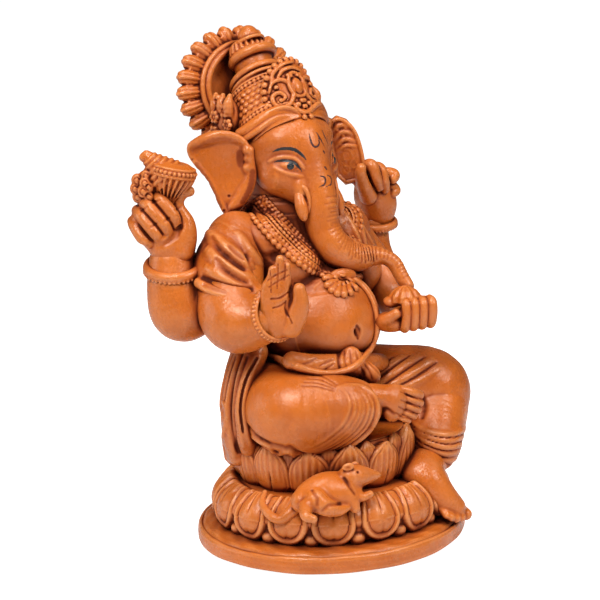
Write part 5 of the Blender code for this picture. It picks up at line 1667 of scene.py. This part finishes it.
def main():
    """Builds every piece, in an order that has each one ready before others are laid on it."""
    plinth()
    lower_lotus()
    upper_lotus()
    torso()
    shawl()
    hanging_drape()
    right_leg()
    left_leg()
    right_foot()
    left_foot()
    waist_cloth()
    rear = [(26, 22, 104, 8.6), (40, 23.5, 90.6, 10.6), (46.6, 24.8, 86.6, 11.2), (48.6, 26.2, 94.5, 9.8),
            (48.8, 27.4, 104, 7.8)]
    limb("right_rear_arm_sculpt", "right_rear_arm", [(-x, y, z, r) for x, y, z, r in rear])
    limb("left_rear_arm_sculpt", "left_rear_arm",
         [(26, 22, 104, 8.6), (39, 23.5, 93, 8.6), (46.6, 25.4, 90.0, 8.2), (48.6, 27.2, 96.0, 6.2),
          (48.8, 28.0, 105, 5.6)])
    limb("right_front_arm_sculpt", "right_front_arm",
         [(-28, 17, 105, 10.4), (-35.5, 11, 92.6, 11.8), (-38.0, 5, 85.4, 12.2), (-36.4, -3.5, 85.2, 9.2),
          (-34.2, -9.5, 87.6, 7.0)])
    limb("left_front_arm_sculpt", "left_front_arm",
         [(26, 18, 104, 9.5), (33, 13, 92, 9.0), (35, 4, 82.5, 8.0), (33.5, -4.5, 79.5, 6.4),
          (31, -9.5, 80.0, 5.6)])
    right_rear_hand()
    left_rear_hand()
    blessing_hand()
    giving_hand()
    beaded_bangle("right_rear_bangle_sculpt", "right_rear_bangle", REAR_HAND + VIEW @ (1.8, 0.4, -12.4), 9.3,
                  1.9,
                  VIEW @ spin(x=16), 0.75, 1.6, ridge=-2.6)
    beaded_bangle("left_rear_bangle_sculpt", "left_rear_bangle", LEFT_REAR_HAND + VIEW @ (-0.6, 0.4, -11.4),
                  7.0, 1.5,
                  VIEW @ spin(x=12), 0.6, 1.2)
    beaded_bangle("right_front_bangle_sculpt", "right_front_bangle", (-33.8, -10.8, 88.6), 8.7, 1.15,
                  spin(x=76), 0.7, -1.2, ridge=1.4)
    beaded_bangle("left_front_bangle_sculpt", "left_front_bangle", (32.4, -8.0, 79.6), 6.6, 1.2,
                  spin(x=80, z=48), 0.55, 0.7)
    conch()
    axe()
    sweet()
    head()
    tusk(-1, "right_tusk")
    tusk(1, "left_tusk")
    ear(-1, "right_ear")
    ear(1, "left_ear")
    crown()
    crown_plate()
    finial()
    halo()
    rosette(-1, "right_rosette")
    rosette(1, "left_rosette")
    necklaces()
    pendant()
    sacred_thread()
    mouse()
    material = resin()
    values = wash_wear_and_painted_shade()
    for name, (points, quads, nodes) in PIECES.items():
        recess, ridge = values[name]
        # The recess attribute carries the dark wash together with the painted shade.
        obj = piece_object(name, points, quads, {"recess": recess, "ridge": ridge})
        obj.data.materials.append(material)
        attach(obj, "root")
        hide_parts(*nodes)
    eyes()


def eyes():
    """Painted brows, lids, irises and brow and trunk marks: thin strokes laid on the head's skin."""
    points, quads, _ = PIECES["head_sculpt"]
    normal = normals_of(points, quads)
    skin = BLOCKS["head_sculpt"]
    black = paint("eye_black", (0.012, 0.011, 0.011), 0.4)
    grey = paint("eye_grey", (0.012, 0.018, 0.02), 0.2)
    wash = paint("mark_wash", (0.045, 0.004, 0.002), 0.6)

    def nearness(strokes, side):
        weight = np.full(len(points), 9.0)
        for line in strokes:
            for spot in spline(laid(skin, line), 6):
                if side < 0 or spot[0] < -10.0:
                    weight = np.minimum(weight,
                                        np.linalg.norm(points - spot[:3] * (-side, 1, 1), axis=1) - spot[3])
        return weight

    lines = [
        [(-10.5, 53.2, 0.1), (-8.3, 54.3, 0.55), (-5.1, 54.8, 0.75), (-1.8, 54.3, 0.72), (0.7, 52.5, 0.6),
         (2.9, 50.0, 0.14)],
         [(-10.1, 49.6, 0.2), (-7.6, 50.4, 0.5), (-4.7, 50.3, 0.75), (-2.0, 49.5, 0.75), (-0.2, 47.8, 0.45),
          (1.1, 45.6, 0.1)], [(-5.8, 47.2, 0.1), (-3.6, 46.5, 0.22), (-1.1, 46.7, 0.2), (0.7, 46.3, 0.1)], ]
    marks = [
        [(3.3, 60.1, 0.3), (4.0, 57.2, 0.5), (5.4, 55.4, 0.5), (6.9, 56.5, 0.5), (6.5, 59.4, 0.3)],
        [(5.8, 60.8, 0.3), (7.2, 58.6, 0.5), (8.7, 55.7, 0.3)],
        [(8.0, 61.5, 0.3), (9.0, 59.0, 0.45), (10.1, 56.5, 0.3)],
        [(7.2, 44.9, 0.3), (9.0, 44.2, 0.5), (9.0, 42.0, 0.5), (6.9, 40.9, 0.3)],
        [(9.8, 45.2, 0.3), (11.2, 44.2, 0.45), (11.2, 42.0, 0.45), (9.4, 40.9, 0.3)],
        [(8.5, 53.9, 0.5), (8.9, 53.2, 0.5)],
        [(9.0, 48.1, 0.5), (9.6, 47.4, 0.5)],
    ]
    for side, label in ((-1, "right"), (1, "left")):
        film(f"{label}_eye_lines", points, quads, normal, nearness(lines, side), 0.05, black,
             [f"{label}_eye"])
        iris = laid(skin, [(-3.4, 48.4)])[0, :3] * (-side, 1, 1)
        near_iris = np.linalg.norm(points - iris, axis=1)
        film(f"{label}_iris", points, quads, normal, near_iris - 1.4, 0.07, grey, [])
        film(f"{label}_pupil", points, quads, normal, near_iris - 0.7, 0.1, black, [])
    film("brow_marks", points, quads, normal, nearness(marks, -1), 0.04, wash, [])


def film(name, points, quads, normal, weight, lift, material, nodes):
    """A thin closed film over the part of a skin where weight is below zero."""
    chosen = (weight[quads] < 0.35).all(1)
    used, faces = np.unique(quads[chosen], return_inverse=True)
    faces = faces.reshape(-1, 4)
    if not len(faces):
        raise SystemExit(f"{name} has no skin under it")
    level = np.clip(-weight[used] / 0.3 + 0.5, 0, 1) * (lift + 0.12) - 0.12
    top = points[used] + normal[used] * level[:, None]
    bottom = points[used] - normal[used] * 0.35
    count = len(used)
    edges = {}
    for quad in faces:
        for a, b in zip(quad, np.roll(quad, -1)):
            edges[(a, b)] = True
    rim = [(a, b) for a, b in edges if (b, a) not in edges]
    walls = np.array([(b, a, a + count, b + count) for a, b in rim])
    quads_all = np.vstack([faces, faces[:, ::-1] + count, walls])
    obj = piece_object(name, np.vstack([top, bottom]), quads_all, {})
    obj.data.materials.append(material)
    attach(obj, "root")
    if nodes:
        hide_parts(*nodes)


# Soft square lights: azimuth, elevation, distance in metres, width in metres, power in watts.
LIGHTS = (
    (-66, 50, 0.9, 0.32, 5.9),
    (16, 42, 0.9, 0.26, 3.4),
    (-30, 80, 0.9, 0.28, 2.5),
    (-128, 12, 0.9, 0.36, 1.3),
)
SKY = 0.1  # strength of the surrounding light


def seen(tree, socket, by_camera, by_others):
    """Gives a socket one value for what the camera sees directly and another for the light it sheds."""
    path = node(tree, "ShaderNodeLightPath")
    tree.links.new(mapped(tree, path.outputs["Is Camera Ray"], 0, 1, by_others, by_camera), socket)


def studio():
    """Pale floor, soft lights and the camera."""
    scene = bpy.context.scene
    floor = bpy.data.meshes.new("floor")
    size = 8.0  # half the floor's side, metres
    floor.from_pydata([(-size, -size, 0), (size, -size, 0), (size, size, 0), (-size, size, 0)], [],
                      [(0, 1, 2, 3)])
    ground = bpy.data.objects.new("floor", floor)
    scene.collection.objects.link(ground)
    ground.location.z = ORIGIN[2] - 0.0002
    matte = bpy.data.materials.new("pale_floor")
    matte.use_nodes = True
    shader = matte.node_tree.nodes["Principled BSDF"]
    shader.inputs["Base Color"].default_value = (0.9, 0.9, 0.9, 1)
    shader.inputs["Roughness"].default_value = 0.9
    shader.inputs["Specular IOR Level"].default_value = 0.1
    shader.inputs["Emission Color"].default_value = (1, 1, 1, 1)
    seen(matte.node_tree, shader.inputs["Emission Strength"], 0.95, 0.0)
    floor.materials.append(matte)

    world = bpy.data.worlds.new("studio")
    world.use_nodes = True
    world.node_tree.nodes["Background"].inputs["Color"].default_value = (1, 1, 1, 1)
    seen(world.node_tree, world.node_tree.nodes["Background"].inputs["Strength"], 1.0, SKY)
    scene.world = world

    scale = MM / 0.001
    target = Vector(ORIGIN) + Vector(TARGET * MM)
    for azimuth, elevation, distance, width, power in LIGHTS:
        a, e = math.radians(azimuth), math.radians(elevation)
        away = Vector((math.sin(a) * math.cos(e), -math.cos(a) * math.cos(e), math.sin(e)))
        data = bpy.data.lights.new("softbox", "AREA")
        data.size = width
        data.energy = power
        lamp = bpy.data.objects.new("softbox", data)
        lamp.location = target + away * distance
        lamp.rotation_euler = away.to_track_quat("Z", "Y").to_euler()
        scene.collection.objects.link(lamp)

    _, side, top, back = sight_frame()
    data = bpy.data.cameras.new("camera")
    data.sensor_width = SENSOR
    data.lens = LENS
    data.clip_start = 0.01
    data.clip_end = 40
    camera = bpy.data.objects.new("camera", data)
    place = Matrix((side, top, back)).transposed().to_4x4()
    place.translation = target + Vector(back) * (DISTANCE / 1000) * scale
    camera.matrix_world = place
    scene.collection.objects.link(camera)
    scene.camera = camera
    scene.view_settings.view_transform = "Standard"


main()
studio()
